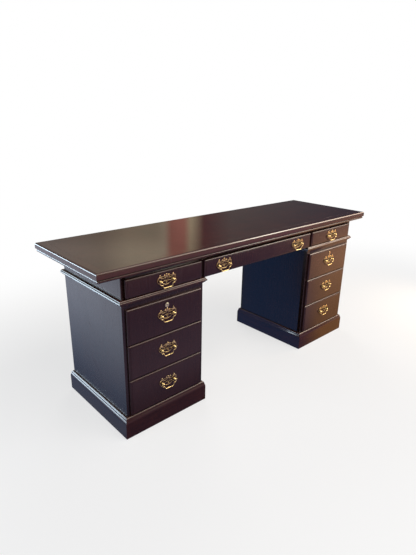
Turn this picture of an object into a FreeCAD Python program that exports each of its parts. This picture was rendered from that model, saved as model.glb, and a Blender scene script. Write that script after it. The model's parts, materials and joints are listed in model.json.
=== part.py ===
"""Kneehole desk on two pedestals: a moulded top, a frieze of three drawers and
two pedestals of three drawers, with pierced brass pulls and two cam locks.

The origin is on the floor under the middle of the desk. +X runs along the desk
to the right of someone facing its drawers, +Y runs to the back and +Z is up.
Every length is in millimetres.
"""

import FreeCAD, Part
import math
import os
import re
import Sketcher

dimensions = {
    # whole desk
    "desk_height": 770,
    "case_length": 1610,
    "case_depth": 482,
    "top_end_overhang": 109.5,
    "top_front_overhang": 29,
    "top_thickness": 42,
    "pedestal_width": 415,
    "frieze_height": 96,
    # moulded edge of the top
    "edge_width": 40,
    "edge_nose": 9,
    "edge_fascia": 26,
    "edge_chamfer": 5,
    "edge_quirk": 2.5,
    "edge_bead": 6.5,
    "edge_bead_setback": 4,
    # panels and frames
    "panel_thickness": 19,
    "frame_thickness": 19,
    "stile_reveal": 15.5,
    "divider_reveal": 16,
    "lip_overlap": 8.5,
    "lip_spacing": 2,
    "crown_reveal": 19,
    "foot_reveal": 4,
    "frieze_top_reveal": 15,
    "frieze_bottom_reveal": 7,
    "kneehole_reveal": 0.5,
    "waist_reveal": 2,
    # mouldings round the pedestals
    "waist_height": 25,
    "waist_projection": 15,
    "waist_shelf": 5,
    "waist_bead_width": 7,
    "waist_bead_fall": 5,
    "waist_quirk": 1.2,
    "waist_nose": 5.2,
    "waist_ovolo": 6,
    "plinth_height": 98,
    "plinth_projection": 15,
    "plinth_shelf": 1.5,
    "plinth_bead_width": 9,
    "plinth_bead_fall": 8.4,
    "plinth_quirk": 2.6,
    "plinth_ovolo_fall": 18,
    "glide_height": 3,
    "glide_width": 26,
    "glide_taper": 2,
    "block_width": 44,
    # drawer fronts
    "top_front_height": 156,
    "middle_front_height": 158,
    "lip_gap": 0.3,
    "lip_edge": 4.5,
    "lip_round": 7,
    "field_step": 1.2,
    "field_inset": 9,
    "tongue_depth": 11,
    "tongue_gap": 1.2,
    # drawer boxes and what they run on
    "drawer_rear_gap": 27,
    "side_thickness": 12,
    "back_thickness": 12,
    "back_setback": 8,
    "back_dado": 4,
    "side_drop": 5,
    "slide_gap": 0.3,
    "tail_length": 9,
    "tail_flare": 1.5,
    "bottom_thickness": 6,
    "groove_depth": 6,
    "groove_lift": 8,
    "runner_width": 34,
    "runner_height": 15,
    "fixing_block": 20,
    "fixing_block_length": 60,
    # pulls
    "pull_rise": 9,
    "frieze_pull_drop": 6,
    "centre_pull_inset": 108,
    "post_spacing": 64,
    "post_standoff": 8,
    "post_ball": 9.6,
    "post_stem": 5.2,
    "post_collar": 9,
    "post_collar_height": 1.5,
    "post_shank": 4,
    "post_tail": 6,
    "shank_gap": 0.2,
    "nut_width": 9,
    "nut_thickness": 3.2,
    "plate_thickness": 1.8,
    "plate_band": 4.5,
    "plate_crest_rise": 22,
    "plate_crest_lobe": 10,
    "plate_ear_spread": 32,
    "plate_ear_rise": 21.5,
    "plate_ear_lobe": 9.5,
    "plate_tip_spread": 38.5,
    "plate_tip_rise": 1,
    "plate_tip_lobe": 10.5,
    "plate_scroll_spread": 17,
    "plate_scroll_rise": 8,
    "plate_scroll_lobe": 11.5,
    "plate_foot_spread": 13,
    "plate_foot_drop": 6,
    "plate_foot_lobe": 10,
    "plate_base_drop": 10,
    "plate_base_lobe": 8.5,
    "plate_boss": 8,
    "bail_width": 4.4,
    "bail_reach": 1.5,
    "bail_play": 0.5,
    "bail_bend": 3.4,
    "bail_shoulder": 10,
    "bail_step": 5,
    "bail_heel": 9,
    "pin_play": 0.1,
    # locks
    "lock_drop": 26,
    "lock_face": 19,
    "lock_face_height": 2,
    "lock_barrel": 16,
    "lock_plug": 11,
    "lock_nut": 22,
    "lock_nut_thickness": 3,
    "key_slot_length": 7,
    "key_slot_width": 1.4,
    "key_slot_depth": 5,
    "cam_length": 25,
    "cam_width": 12,
    "cam_thickness": 2,
    "cam_gap": 0.5,
    "cam_stud": 7,
    "cam_nut": 12,
    "cam_nut_thickness": 2.5,
}

cutterMargin = 6
along = FreeCAD.Vector(1, 0, 0)
up = FreeCAD.Vector(0, 0, 1)

document = FreeCAD.newDocument("kneehole_desk")
sizes = document.addObject("Spreadsheet::Sheet", "sizes")
for row, (name, value) in enumerate(dimensions.items(), start=1):
    sizes.set(f"A{row}", name)
    sizes.set(f"B{row}", str(value))
    sizes.setAlias(f"B{row}", name)
document.recompute()

nodes = []


# ---------------------------------------------------------------- formulas

def linked(formula):
    """The formula with each dimension in it pointed at its cell."""
    return re.sub(r"[a-z]\w*\b(?!\()", lambda word: "sizes." + word[0], str(formula))


def measure(formula):
    return float(sizes.evalExpression(linked(formula)))


def bind(thing, **formulas):
    for name, formula in formulas.items():
        thing.setExpression(name, linked(formula))


def place(thing, x=0, y=0, z=0, turn=0):
    """Put a piece at a point given by formulas, turned about the vertical."""
    thing.Placement = FreeCAD.Placement(FreeCAD.Vector(), FreeCAD.Rotation(up, turn))
    for axis, formula in zip("xyz", (x, y, z)):
        thing.setExpression("Placement.Base." + axis, linked(formula))
    return thing


# ---------------------------------------------------------------- sketches

def new_body(name):
    return document.addObject("PartDesign::Body", name)


def new_sketch(body, plane, offset=0):
    """A sketch on one of the body's own origin planes, moved out along its normal."""
    sketch = body.newObject("Sketcher::SketchObject", body.Name + "_sketch")
    for feature in body.Origin.OriginFeatures:
        if feature.Role == plane:
            sketch.AttachmentSupport = [(feature, "")]
    sketch.MapMode = "FlatFace"
    sketch.setExpression("AttachmentOffset.Base.z", linked(offset))
    return sketch


def pin(sketch, kind, edge, end, formula):
    """Fix how far one end of an edge, or its centre, lies along an axis."""
    constraint = Sketcher.Constraint(kind, -1, 1, edge, end, measure(formula))
    number = sketch.addConstraint(constraint)
    sketch.setExpression(f"Constraints[{number}]", linked(formula))


def pin_corner(sketch, edge, end, x, y):
    """Fix one end of an edge at a point given by two formulas."""
    pin(sketch, "DistanceX", edge, end, x)
    pin(sketch, "DistanceY", edge, end, y)


def fix_radius(sketch, edge, formula):
    number = sketch.addConstraint(Sketcher.Constraint("Radius", edge, measure(formula)))
    sketch.setExpression(f"Constraints[{number}]", linked(formula))


def fix_arc(sketch, edge, corner, chord):
    """Fix how far an arc swings out: by its radius, or in a half turn by its centre."""
    x, y, radius = corner[:3]
    if 2 * measure(radius) - chord.Length > 0.01:
        fix_radius(sketch, edge, radius)
    elif abs(chord.x) < 0.01:
        pin(sketch, "DistanceX", edge, 3, x)
    else:
        pin(sketch, "DistanceY", edge, 3, y)


def arc_between(start, end, radius, turn):
    """The arc of less than a half turn, or a half turn, from start to end; turn is 1 or -1."""
    chord = end - start
    rise = math.sqrt(max(radius ** 2 - (chord.Length / 2) ** 2, 0))
    left = FreeCAD.Vector(-chord.y, chord.x, 0).normalize()
    centre = (start + end) * 0.5 + left * (rise * turn)
    first, last = (start, end) if turn > 0 else (end, start)
    from_angle = math.atan2(first.y - centre.y, first.x - centre.x)
    to_angle = math.atan2(last.y - centre.y, last.x - centre.x)
    return Part.ArcOfCircle(Part.Circle(centre, up, radius), from_angle, to_angle)


def trace(sketch, path, closed=True):
    """Draw an outline through the corners of a path.

    A corner is (x, y) where the edge that leaves it is straight, and
    (x, y, radius, turn) where that edge is an arc, which turns left with 1 and
    right with -1.
    """
    points = [FreeCAD.Vector(measure(corner[0]), measure(corner[1]), 0) for corner in path]
    count = len(path) if closed else len(path) - 1
    ends = []
    for index in range(count):
        start = points[index]
        end = points[(index + 1) % len(path)]
        corner = path[index]
        if len(corner) == 2:
            edge = sketch.addGeometry(Part.LineSegment(start, end))
            ends.append((edge, 1, 2))
        else:
            radius, turn = corner[2:]
            edge = sketch.addGeometry(arc_between(start, end, measure(radius), turn))
            ends.append((edge, 1, 2) if turn > 0 else (edge, 2, 1))
    for index, (edge, first, last) in enumerate(ends):
        pin_corner(sketch, edge, first, *path[index][:2])
        if closed or index + 1 < count:
            following = ends[(index + 1) % count]
            joint = Sketcher.Constraint("Coincident", edge, last, following[0], following[1])
            sketch.addConstraint(joint)
        else:
            pin_corner(sketch, edge, last, *path[-1][:2])
        if len(path[index]) > 2:
            chord = points[(index + 1) % len(path)] - points[index]
            fix_arc(sketch, edge, path[index], chord)


def rectangle(sketch, left, bottom, right, top):
    trace(sketch, [(left, bottom), (right, bottom), (right, top), (left, top)])


def circle(sketch, x, y, radius):
    centre = FreeCAD.Vector(measure(x), measure(y), 0)
    edge = sketch.addGeometry(Part.Circle(centre, up, measure(radius)))
    pin_corner(sketch, edge, 3, x, y)
    fix_radius(sketch, edge, radius)


# ---------------------------------------------------------------- features

def add_pad(body, sketch, length, back=False, both=False):
    pad = body.newObject("PartDesign::Pad", body.Name + "_pad")
    pad.Profile = sketch
    pad.Reversed = back
    if both:
        pad.SideType = "Symmetric"
    bind(pad, Length=length)
    return pad


def add_pocket(body, sketch, length=None, back=False, both=False):
    """Cut the sketch out of the body: right through it, or to a depth."""
    pocket = body.newObject("PartDesign::Pocket", body.Name + "_pocket")
    pocket.Profile = sketch
    pocket.Reversed = back
    if both:
        pocket.SideType = "Symmetric"
    if length is None:
        pocket.Type = "ThroughAll"
    else:
        bind(pocket, Length=length)
    return pocket


def add_turning(body, path):
    """Turn a profile, drawn on the XY plane as radius and depth, about the Y axis."""
    sketch = new_sketch(body, "XY_Plane")
    trace(sketch, path)
    turning = body.newObject("PartDesign::Revolution", body.Name + "_turning")
    turning.Profile = sketch
    turning.ReferenceAxis = (sketch, ["V_Axis"])
    turning.Angle = 360
    return turning


def box(name, length, width, height, x, y, z):
    """A plain board whose lowest corner is at x, y, z."""
    board = document.addObject("Part::Box", name)
    bind(board, Length=length, Width=width, Height=height)
    return place(board, x, y, z)


def centred_box(name, length, width, height, x, y, z):
    """A plain board centred on x, whose front and bottom are at y and z."""
    return box(name, length, width, height, f"({x}) - ({length}) / 2", y, z)


def sub_part(thing, name):
    """Name a finished piece, so that it is written to its own file."""
    thing.Label = name
    nodes.append(thing)
    return thing


def group(name, pieces, x=0, y=0, z=0):
    """Pieces that stay separate solids under one name."""
    compound = document.addObject("Part::Compound", name)
    compound.Links = pieces
    return sub_part(place(compound, x, y, z), name)


# ---------------------------------------------------------------- shared places

frontPlane = "-case_depth / 2"
backPlane = "case_depth / 2"
innerFront = f"({frontPlane} + frame_thickness)"
innerBack = f"({backPlane} - panel_thickness)"
innerDepth = "(case_depth - frame_thickness - panel_thickness)"
topUnderside = "(desk_height - top_thickness)"
pedestalTop = f"({topUnderside} - frieze_height)"
plinthTop = "(glide_height + plinth_height)"
pedestalCentre = "((case_length - pedestal_width) / 2)"
pedestalInside = "(pedestal_width - 2 * panel_thickness)"
openingInset = "(stile_reveal + lip_overlap)"
pedestalOpening = f"(pedestal_width - 2 * {openingInset})"
railHeight = "(lip_spacing + 2 * lip_overlap)"
drawerEnd = "(case_depth - panel_thickness + lip_gap - drawer_rear_gap)"
friezeLow = f"({pedestalTop} + frieze_bottom_reveal + lip_overlap)"
friezeHigh = f"({topUnderside} - frieze_top_reveal - lip_overlap)"
dividerWidth = "(divider_reveal + 2 * lip_overlap)"
centreOpening = f"(case_length - 2 * pedestal_width + 2 * {openingInset} - 2 * {dividerWidth})"
frontOfFront = "(lip_edge + lip_round + field_step)"
frontDepth = f"({frontOfFront} + tongue_depth)"
bailAxis = f"-({frontOfFront} + plate_thickness + post_standoff)"
sideSign = {"left": -1, "right": 1}


def drawer_rows():
    """Low and high edge of each pedestal opening, from the top one down."""
    high = f"({pedestalTop} - waist_height - crown_reveal)"
    rows = {}
    for level in ("top", "middle"):
        low = f"({high} - {level}_front_height)"
        rows[level] = (f"({low} + lip_overlap)", f"({high} - lip_overlap)")
        high = f"({low} - lip_spacing)"
    rows["bottom"] = (f"({plinthTop} + foot_reveal + lip_overlap)", f"({high} - lip_overlap)")
    return rows


rows = drawer_rows()
floorUnderside = f"({rows['bottom'][0]} - runner_height - panel_thickness)"
friezeTiers = {"runner": friezeLow, "kicker": f"({friezeHigh} + runner_height)"}


# ---------------------------------------------------------------- mouldings

def mitred_length(name, profile, length, reach):
    """A moulding with its inner face on the XZ plane, mitred at both ends.

    The profile is in (y, z), its outermost edge lies at y = -reach, and length
    is what the piece measures along that edge.
    """
    body = new_body(name)
    section = new_sketch(body, "YZ_Plane")
    trace(section, profile)
    add_pad(body, section, length, both=True)
    for side in (-1, 1):
        inner = f"{side} * (({length}) / 2 - ({reach}) - {cutterMargin})"
        outer = f"{side} * (({length}) / 2 + {cutterMargin})"
        cutter = new_sketch(body, "XY_Plane")
        far = f"-({reach}) - {cutterMargin}"
        trace(cutter, [(inner, cutterMargin), (outer, cutterMargin), (outer, far)])
        add_pocket(body, cutter, both=True)
    return body


def moulding_ring(name, profile, inner_length, inner_depth, reach, x, z):
    """Four mitred lengths round a rectangle whose middle is at x."""
    runs = {
        "front": (inner_length, x, f"-({inner_depth}) / 2", 0),
        "back": (inner_length, x, f"({inner_depth}) / 2", 180),
        "left": (inner_depth, f"({x}) - ({inner_length}) / 2", 0, -90),
        "right": (inner_depth, f"({x}) + ({inner_length}) / 2", 0, 90),
    }
    pieces = []
    for run, (inside, run_x, run_y, turn) in runs.items():
        outside = f"({inside}) + 2 * ({reach})"
        piece = mitred_length(f"{name}_{run}", profile, outside, reach)
        pieces.append(place(piece, run_x, run_y, z, turn))
    return pieces


def edge_profile():
    """Rounded nose, flat fascia, a quirk and a small bead, hung from the top surface."""
    bead_axis = "-edge_width + edge_bead_setback + edge_bead"
    bead_top = "-edge_fascia - edge_quirk"
    return [
        (0, 0),
        ("-edge_width + edge_nose", 0, "edge_nose", 1),
        ("-edge_width", "-edge_nose"),
        ("-edge_width", "-edge_fascia"),
        ("-edge_width + edge_chamfer", bead_top),
        (bead_axis, bead_top, "edge_bead", 1),
        (bead_axis, f"{bead_top} - 2 * edge_bead"),
        (bead_axis, "-top_thickness"),
        (0, "-top_thickness"),
    ]


def quarter_radius(flat, fall):
    """Radius of an arc that starts level, or upright, and reaches flat by fall."""
    return f"(({flat}) ^ 2 + ({fall}) ^ 2) / (2 * ({fall}))"


def waist_profile():
    """Falling bead, a half-round nose and an ovolo in to the pedestal, hung from its top."""
    bead_end = "-waist_shelf - waist_bead_width"
    nose_axis = "-waist_projection + waist_nose"
    nose_top = "-waist_bead_fall - waist_quirk"
    nose_foot = f"{nose_top} - 2 * waist_nose"
    return [
        (0, 0),
        ("-waist_shelf", 0, quarter_radius("waist_bead_width", "waist_bead_fall"), 1),
        (bead_end, "-waist_bead_fall"),
        (nose_axis, nose_top, "waist_nose", 1),
        (nose_axis, nose_foot, "waist_ovolo", 1),
        (f"{nose_axis} + waist_ovolo", f"{nose_foot} - waist_ovolo"),
        (f"{nose_axis} + waist_ovolo", "-waist_height"),
        (0, "-waist_height"),
    ]


def plinth_profile():
    """Plain board with a falling bead, a quirk and a tall ovolo at its top."""
    bead_end = "-plinth_shelf - plinth_bead_width"
    step = "-plinth_bead_fall - plinth_quirk"
    ovolo_width = f"plinth_projection + ({bead_end})"
    return [
        (0, 0),
        ("-plinth_shelf", 0, quarter_radius("plinth_bead_width", "plinth_bead_fall"), 1),
        (bead_end, "-plinth_bead_fall"),
        (bead_end, step, quarter_radius("plinth_ovolo_fall", ovolo_width), 1),
        ("-plinth_projection", f"{step} - plinth_ovolo_fall"),
        ("-plinth_projection", "-plinth_height"),
        (0, "-plinth_height"),
    ]


# ---------------------------------------------------------------- top and frieze

def make_top():
    inner_length = "(case_length + 2 * top_end_overhang - 2 * edge_width)"
    inner_depth = "(case_depth + 2 * top_front_overhang - 2 * edge_width)"
    board = centred_box("board", inner_length, inner_depth, "top_thickness",
                        0, f"-({inner_depth}) / 2", topUnderside)
    sub_part(board, "top_board")
    ring = moulding_ring("top_edge", edge_profile(), inner_length, inner_depth,
                         "edge_width", 0, "desk_height")
    group("top_edge_mouldings", ring)


def make_top_blocks():
    """Blocks that hold the top down, in the corners of the centre and side bays."""
    blocks = []
    size = "fixing_block"
    spots = {
        "left": f"-{pedestalCentre}",
        "centre_left": f"-{centreOpening} / 4",
        "centre_right": f"{centreOpening} / 4",
        "right": pedestalCentre,
    }
    for spot, x in spots.items():
        for edge, y in (("front", innerFront), ("back", f"{innerBack} - {size}")):
            blocks.append(centred_box(f"block_{spot}_{edge}", "fixing_block_length", size, size,
                                      x, y, f"{topUnderside} - {size}"))
    group("top_fixing_blocks", blocks)


def make_frieze_frame():
    """Front frame of the frieze: two long rails, two end stiles and two dividers."""
    run = f"(case_length - 2 * {openingInset})"
    low_height = f"{friezeLow} - {pedestalTop}"
    pieces = [
        centred_box("frieze_low_rail", run, "frame_thickness", low_height,
                    0, frontPlane, pedestalTop),
        centred_box("frieze_high_rail", run, "frame_thickness", f"{topUnderside} - {friezeHigh}",
                    0, frontPlane, friezeHigh),
    ]
    for side, sign in sideSign.items():
        end = f"{sign} * (case_length - {openingInset}) / 2"
        pieces.append(centred_box(f"{side}_end_stile", openingInset, "frame_thickness",
                                  "frieze_height", end, frontPlane, pedestalTop))
        middle = f"{sign} * ({centreOpening} + {dividerWidth}) / 2"
        pieces.append(centred_box(f"{side}_divider_stile", dividerWidth, "frame_thickness",
                                  f"{friezeHigh} - {friezeLow}", middle, frontPlane, friezeLow))
    group("frieze_front_frame", pieces)


def make_frieze_case():
    ends = []
    dividers = []
    for side, sign in sideSign.items():
        end = f"{sign} * (case_length - panel_thickness) / 2"
        ends.append(centred_box(f"{side}_frieze_end", "panel_thickness",
                                f"{innerDepth} + panel_thickness", "frieze_height",
                                end, innerFront, pedestalTop))
        middle = f"{sign} * (case_length / 2 - pedestal_width + panel_thickness / 2)"
        dividers.append(centred_box(f"{side}_divider", "panel_thickness", innerDepth,
                                    "frieze_height", middle, innerFront, pedestalTop))
    group("frieze_end_panels", ends)
    group("frieze_dividers", dividers)
    back = centred_box("frieze_back", "case_length - 2 * panel_thickness", "panel_thickness",
                       "frieze_height", 0, innerBack, pedestalTop)
    sub_part(back, "frieze_back_panel")


# ---------------------------------------------------------------- pedestals

def make_pedestal(side, sign):
    centre = f"{sign} * {pedestalCentre}"
    case_height = f"({pedestalTop} - glide_height)"
    sides = []
    for edge in (-1, 1):
        x = f"{centre} + {edge} * (pedestal_width - panel_thickness) / 2"
        sides.append(centred_box(f"{side}_side_{edge + 1}", "panel_thickness",
                                 f"{innerDepth} + panel_thickness", case_height,
                                 x, innerFront, "glide_height"))
    group(f"{side}_pedestal_sides", sides)

    make_pedestal_frame(side, centre, case_height)

    ring = moulding_ring(f"{side}_waist", waist_profile(), "pedestal_width", "case_depth",
                         "waist_projection", centre, pedestalTop)
    group(f"{side}_waist_mouldings", ring)
    ring = moulding_ring(f"{side}_plinth_board", plinth_profile(), "pedestal_width",
                         "case_depth", "plinth_projection", centre, plinthTop)
    group(f"{side}_plinth", ring + corner_blocks(side, centre))


def foot_spots(centre):
    """Where the middle of each corner block and glide of a pedestal lies."""
    spots = {}
    for across in (-1, 1):
        for along in (-1, 1):
            x = f"{centre} + {across} * ({pedestalInside} - block_width) / 2"
            y = f"({innerFront} + {innerBack}) / 2 + {along} * ({innerDepth} - block_width) / 2"
            spots[f"{across + 1}_{along + 1}"] = (x, y)
    return spots


def corner_blocks(side, centre):
    """Blocks under the floor, inside the corners of the plinth."""
    blocks = []
    for spot, (x, y) in foot_spots(centre).items():
        blocks.append(centred_box(f"{side}_block_{spot}", "block_width", "block_width",
                                  f"{floorUnderside} - glide_height",
                                  x, f"{y} - block_width / 2", "glide_height"))
    return blocks


def make_pedestal_frame(side, centre, case_height):
    """Two stiles and four rails; each rail fills the space between two openings."""
    pieces = []
    for edge in (-1, 1):
        x = f"{centre} + {edge} * (pedestal_width - {openingInset}) / 2"
        pieces.append(centred_box(f"{side}_stile_{edge + 1}", openingInset, "frame_thickness",
                                  case_height, x, frontPlane, "glide_height"))
    rails = {
        "high": (rows["top"][1], pedestalTop),
        "upper": (rows["middle"][1], rows["top"][0]),
        "lower": (rows["bottom"][1], rows["middle"][0]),
        "low": (floorUnderside, rows["bottom"][0]),
    }
    for rail, (low, high) in rails.items():
        pieces.append(centred_box(f"{side}_{rail}_rail", pedestalOpening, "frame_thickness",
                                  f"{high} - {low}", centre, frontPlane, low))
    group(f"{side}_pedestal_frame", pieces)


def make_pedestal_panels():
    """The back, top and floor of both pedestals."""
    backs = []
    levels = []
    for side, sign in sideSign.items():
        centre = f"{sign} * {pedestalCentre}"
        backs.append(centred_box(f"{side}_back", pedestalInside, "panel_thickness",
                                 f"{pedestalTop} - glide_height", centre, innerBack,
                                 "glide_height"))
        for level, z in (("top", f"{pedestalTop} - panel_thickness"), ("floor", floorUnderside)):
            levels.append(centred_box(f"{side}_{level}", pedestalInside, innerDepth,
                                      "panel_thickness", centre, innerFront, z))
    group("pedestal_back_panels", backs)
    group("pedestal_tops_and_floors", levels)


def make_glides():
    glides = []
    for side, sign in sideSign.items():
        for spot, (x, y) in foot_spots(f"{sign} * {pedestalCentre}").items():
            glide = document.addObject("Part::Cone", f"{side}_glide_{spot}")
            bind(glide, Radius1="glide_width / 2 - glide_taper", Radius2="glide_width / 2",
                 Height="glide_height")
            glides.append(place(glide, x, y))
    group("floor_glides", glides)


# ---------------------------------------------------------------- drawers

class Drawer:
    """Where one drawer's opening is and how its front covers the frame.

    A drawer's own frame has its origin on the lip's back plane, at the middle
    of the opening's low edge.
    """

    def __init__(self, name, centre, low, high, width, pull_shift):
        self.name = name
        self.centre = centre
        self.low = low
        self.height = f"({high} - {low})"
        self.width = width
        self.pull_height = f"({self.height} / 2 + {pull_shift})"
        self.lower_lip = "lip_overlap"
        self.pulls = {"": 0}
        self.tails = 4
        self.lock = False
        self.tongue_width = f"({width} - 2 * tongue_gap)"
        self.box_inside = f"({self.tongue_width} - 2 * side_thickness)"
        self.side_height = f"({self.height} - side_drop - slide_gap)"
        self.lock_height = f"({self.height} + lip_overlap - lock_drop)"

    def place(self, thing, x=0, y=0, z=0):
        plane = f"{frontPlane} - lip_gap"
        return place(thing, f"{self.centre} + ({x})", f"{plane} + ({y})", f"{self.low} + ({z})")

    def group(self, part, pieces, x=0, y=0, z=0):
        compound = group(f"{self.name}_{part}", pieces)
        return self.place(compound, x, y, z)


def tail_outlines(drawer):
    """Flared tails on the (y, z) plane, evenly spread up the drawer's side."""
    outlines = []
    root = "tongue_depth"
    tip = "(tongue_depth - tail_length)"
    pitch = f"({drawer.side_height} / {drawer.tails})"
    for number in range(drawer.tails):
        middle = f"slide_gap + {pitch} * {number + 0.5}"
        neck = f"({pitch} / 4)"
        outlines.append([
            (root, f"{middle} - {neck}"),
            (tip, f"{middle} - {neck} - tail_flare"),
            (tip, f"{middle} + {neck} + tail_flare"),
            (root, f"{middle} + {neck}"),
        ])
    return outlines


def make_front(drawer):
    """Lipped front: a moulded lip over the frame and a tongue inside the opening."""
    body = new_body(f"{drawer.name}_front_body")
    half_lip = f"({drawer.width} / 2 + lip_overlap)"
    lip_top = f"({drawer.height} + lip_overlap)"
    lip = new_sketch(body, "XZ_Plane")
    rectangle(lip, f"-{half_lip}", f"-{drawer.lower_lip}", half_lip, lip_top)
    pad = add_pad(body, lip, "lip_edge + lip_round")
    document.recompute()

    rounding = body.newObject("PartDesign::Fillet", f"{drawer.name}_rounding")
    rounding.Base = (pad, [front_face(pad.Shape)])
    bind(rounding, Radius="lip_round")

    field = new_sketch(body, "XZ_Plane")
    rectangle(field, f"-{half_lip} + field_inset", f"-{drawer.lower_lip} + field_inset",
              f"{half_lip} - field_inset", f"{lip_top} - field_inset")
    add_pad(body, field, frontOfFront)

    half = f"{drawer.tongue_width} / 2"
    tongue = new_sketch(body, "XZ_Plane")
    rectangle(tongue, f"-{half}", "tongue_gap", half, f"{drawer.height} - tongue_gap")
    add_pad(body, tongue, "tongue_depth", back=True)

    for outline in tail_outlines(drawer):
        for offset in (f"{half} - side_thickness", f"-{half}"):
            socket = new_sketch(body, "YZ_Plane", offset)
            root = f"tongue_depth + {cutterMargin}"
            trace(socket, [(root, outline[0][1])] + outline + [(root, outline[3][1])])
            add_pocket(body, socket, "side_thickness", back=True)

    groove = new_sketch(body, "XZ_Plane", "-(tongue_depth - groove_depth)")
    panel = f"({drawer.box_inside} / 2 + groove_depth)"
    rectangle(groove, f"-{panel}", "groove_lift", panel, "groove_lift + bottom_thickness")
    add_pocket(body, groove)

    holes = new_sketch(body, "XZ_Plane")
    for offset in drawer.pulls.values():
        for post in (-1, 1):
            circle(holes, f"{offset} + ({post}) * post_spacing / 2", drawer.pull_height,
                   "post_shank / 2 + shank_gap")
    if drawer.lock:
        circle(holes, 0, drawer.lock_height, "lock_barrel / 2 + shank_gap")
    add_pocket(body, holes, both=True)
    sub_part(drawer.place(body), f"{drawer.name}_front")


def front_face(shape):
    """Name of the flat face that lies furthest forward."""
    faces = enumerate(shape.Faces, start=1)
    number = min(faces, key=lambda item: item[1].CenterOfMass.y)[0]
    return f"Face{number}"


def make_side(drawer, hand):
    """A drawer side with its tails, bottom groove and dado for the back."""
    body = new_body(f"{drawer.name}_side_{hand + 1}")
    half = f"{drawer.tongue_width} / 2"
    low_x = f"{half} - side_thickness" if hand > 0 else f"-{half}"
    inner = f"{hand} * ({half} - side_thickness)"
    board = new_sketch(body, "YZ_Plane", low_x)
    rectangle(board, "tongue_depth", "slide_gap", drawerEnd, f"slide_gap + {drawer.side_height}")
    add_pad(body, board, "side_thickness")
    for outline in tail_outlines(drawer):
        tail = new_sketch(body, "YZ_Plane", low_x)
        trace(tail, outline)
        add_pad(body, tail, "side_thickness")

    groove = new_sketch(body, "XZ_Plane")
    edge = f"{inner} - {hand} * {cutterMargin}"
    depth = f"{inner} + {hand} * groove_depth"
    rectangle(groove, edge, "groove_lift", depth, "groove_lift + bottom_thickness")
    add_pocket(body, groove, both=True)

    dado = new_sketch(body, "XY_Plane")
    rear = f"{drawerEnd} - back_setback"
    rectangle(dado, edge, f"{rear} - back_thickness", f"{inner} + {hand} * back_dado", rear)
    add_pocket(body, dado, both=True)
    return body


def make_box(drawer):
    sides = [make_side(drawer, hand) for hand in (-1, 1)]
    rear = f"{drawerEnd} - back_setback"
    lift = "(groove_lift + bottom_thickness)"
    back = centred_box(f"{drawer.name}_back", f"{drawer.box_inside} + 2 * back_dado",
                       "back_thickness", f"{drawer.side_height} + slide_gap - {lift}",
                       0, f"{rear} - back_thickness", lift)
    bottom = centred_box(f"{drawer.name}_bottom", f"{drawer.box_inside} + 2 * groove_depth",
                         f"{rear} - tongue_depth + groove_depth", "bottom_thickness",
                         0, "tongue_depth - groove_depth", "groove_lift")
    drawer.group("box", sides + [back, bottom])


def all_drawers():
    drawers = []
    for side, sign in sideSign.items():
        centre = f"{sign} * {pedestalCentre}"
        frieze = Drawer(f"{side}_frieze_drawer", centre, friezeLow, friezeHigh,
                        pedestalOpening, "-frieze_pull_drop")
        frieze.tails = 2
        frieze.lower_lip = "(frieze_bottom_reveal + lip_overlap - waist_reveal)"
        drawers.append(frieze)
        for level, (low, high) in rows.items():
            drawer = Drawer(f"{side}_{level}_drawer", centre, low, high, pedestalOpening,
                            "pull_rise")
            drawer.lock = level == "top"
            drawers.append(drawer)
    centre = Drawer("centre_drawer", "0", friezeLow, friezeHigh, centreOpening,
                    "-frieze_pull_drop")
    centre.tails = 2
    centre.lower_lip = "(frieze_bottom_reveal + lip_overlap - kneehole_reveal)"
    offset = f"({centreOpening} / 2 - centre_pull_inset)"
    centre.pulls = {"left_": f"-{offset}", "right_": offset}
    drawers.append(centre)
    return drawers


def make_runners():
    """Strips under the sides of every drawer, and kickers over the uppermost ones."""
    strips = []
    bays = []
    for side, sign in sideSign.items():
        centre = f"{sign} * {pedestalCentre}"
        for low, high in rows.values():
            bays.append((f"{side}_{len(bays)}", centre, pedestalInside, low))
        bays.append((f"{side}_top_kicker", centre, pedestalInside,
                     f"({rows['top'][1]} + runner_height)"))
        for tier, level in friezeTiers.items():
            bays.append((f"{side}_{tier}", centre, pedestalInside, level))
    for tier, level in friezeTiers.items():
        kneehole = "(case_length - 2 * pedestal_width)"
        bays.append((f"centre_{tier}", "0", kneehole, level))
    for bay, centre, width, level in bays:
        for edge in (-1, 1):
            x = f"{centre} + {edge} * ({width} - runner_width) / 2"
            strips.append(centred_box(f"strip_{bay}_{edge + 1}", "runner_width", innerDepth,
                                      "runner_height", x, innerFront,
                                      f"{level} - runner_height"))
    group("drawer_runners", strips)


# ---------------------------------------------------------------- pulls

def cut(name, base, tool):
    result = document.addObject("Part::Cut", name)
    result.Base = base
    result.Tool = tool
    return result


def discs(name, spots):
    """Round discs as thick as the plate on the (x, z) plane, joined where they overlap."""
    cylinders = []
    for number, (x, z, radius) in enumerate(spots):
        disc = document.addObject("Part::Cylinder", f"{name}_{number}")
        bind(disc, Radius=radius, Height="plate_thickness")
        disc.Placement = FreeCAD.Placement(FreeCAD.Vector(), FreeCAD.Rotation(along, 90))
        disc.setExpression("Placement.Base.x", linked(x))
        disc.setExpression("Placement.Base.z", linked(z))
        cylinders.append(disc)
    joined = document.addObject("Part::MultiFuse", name)
    joined.Shapes = cylinders
    return joined


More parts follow.
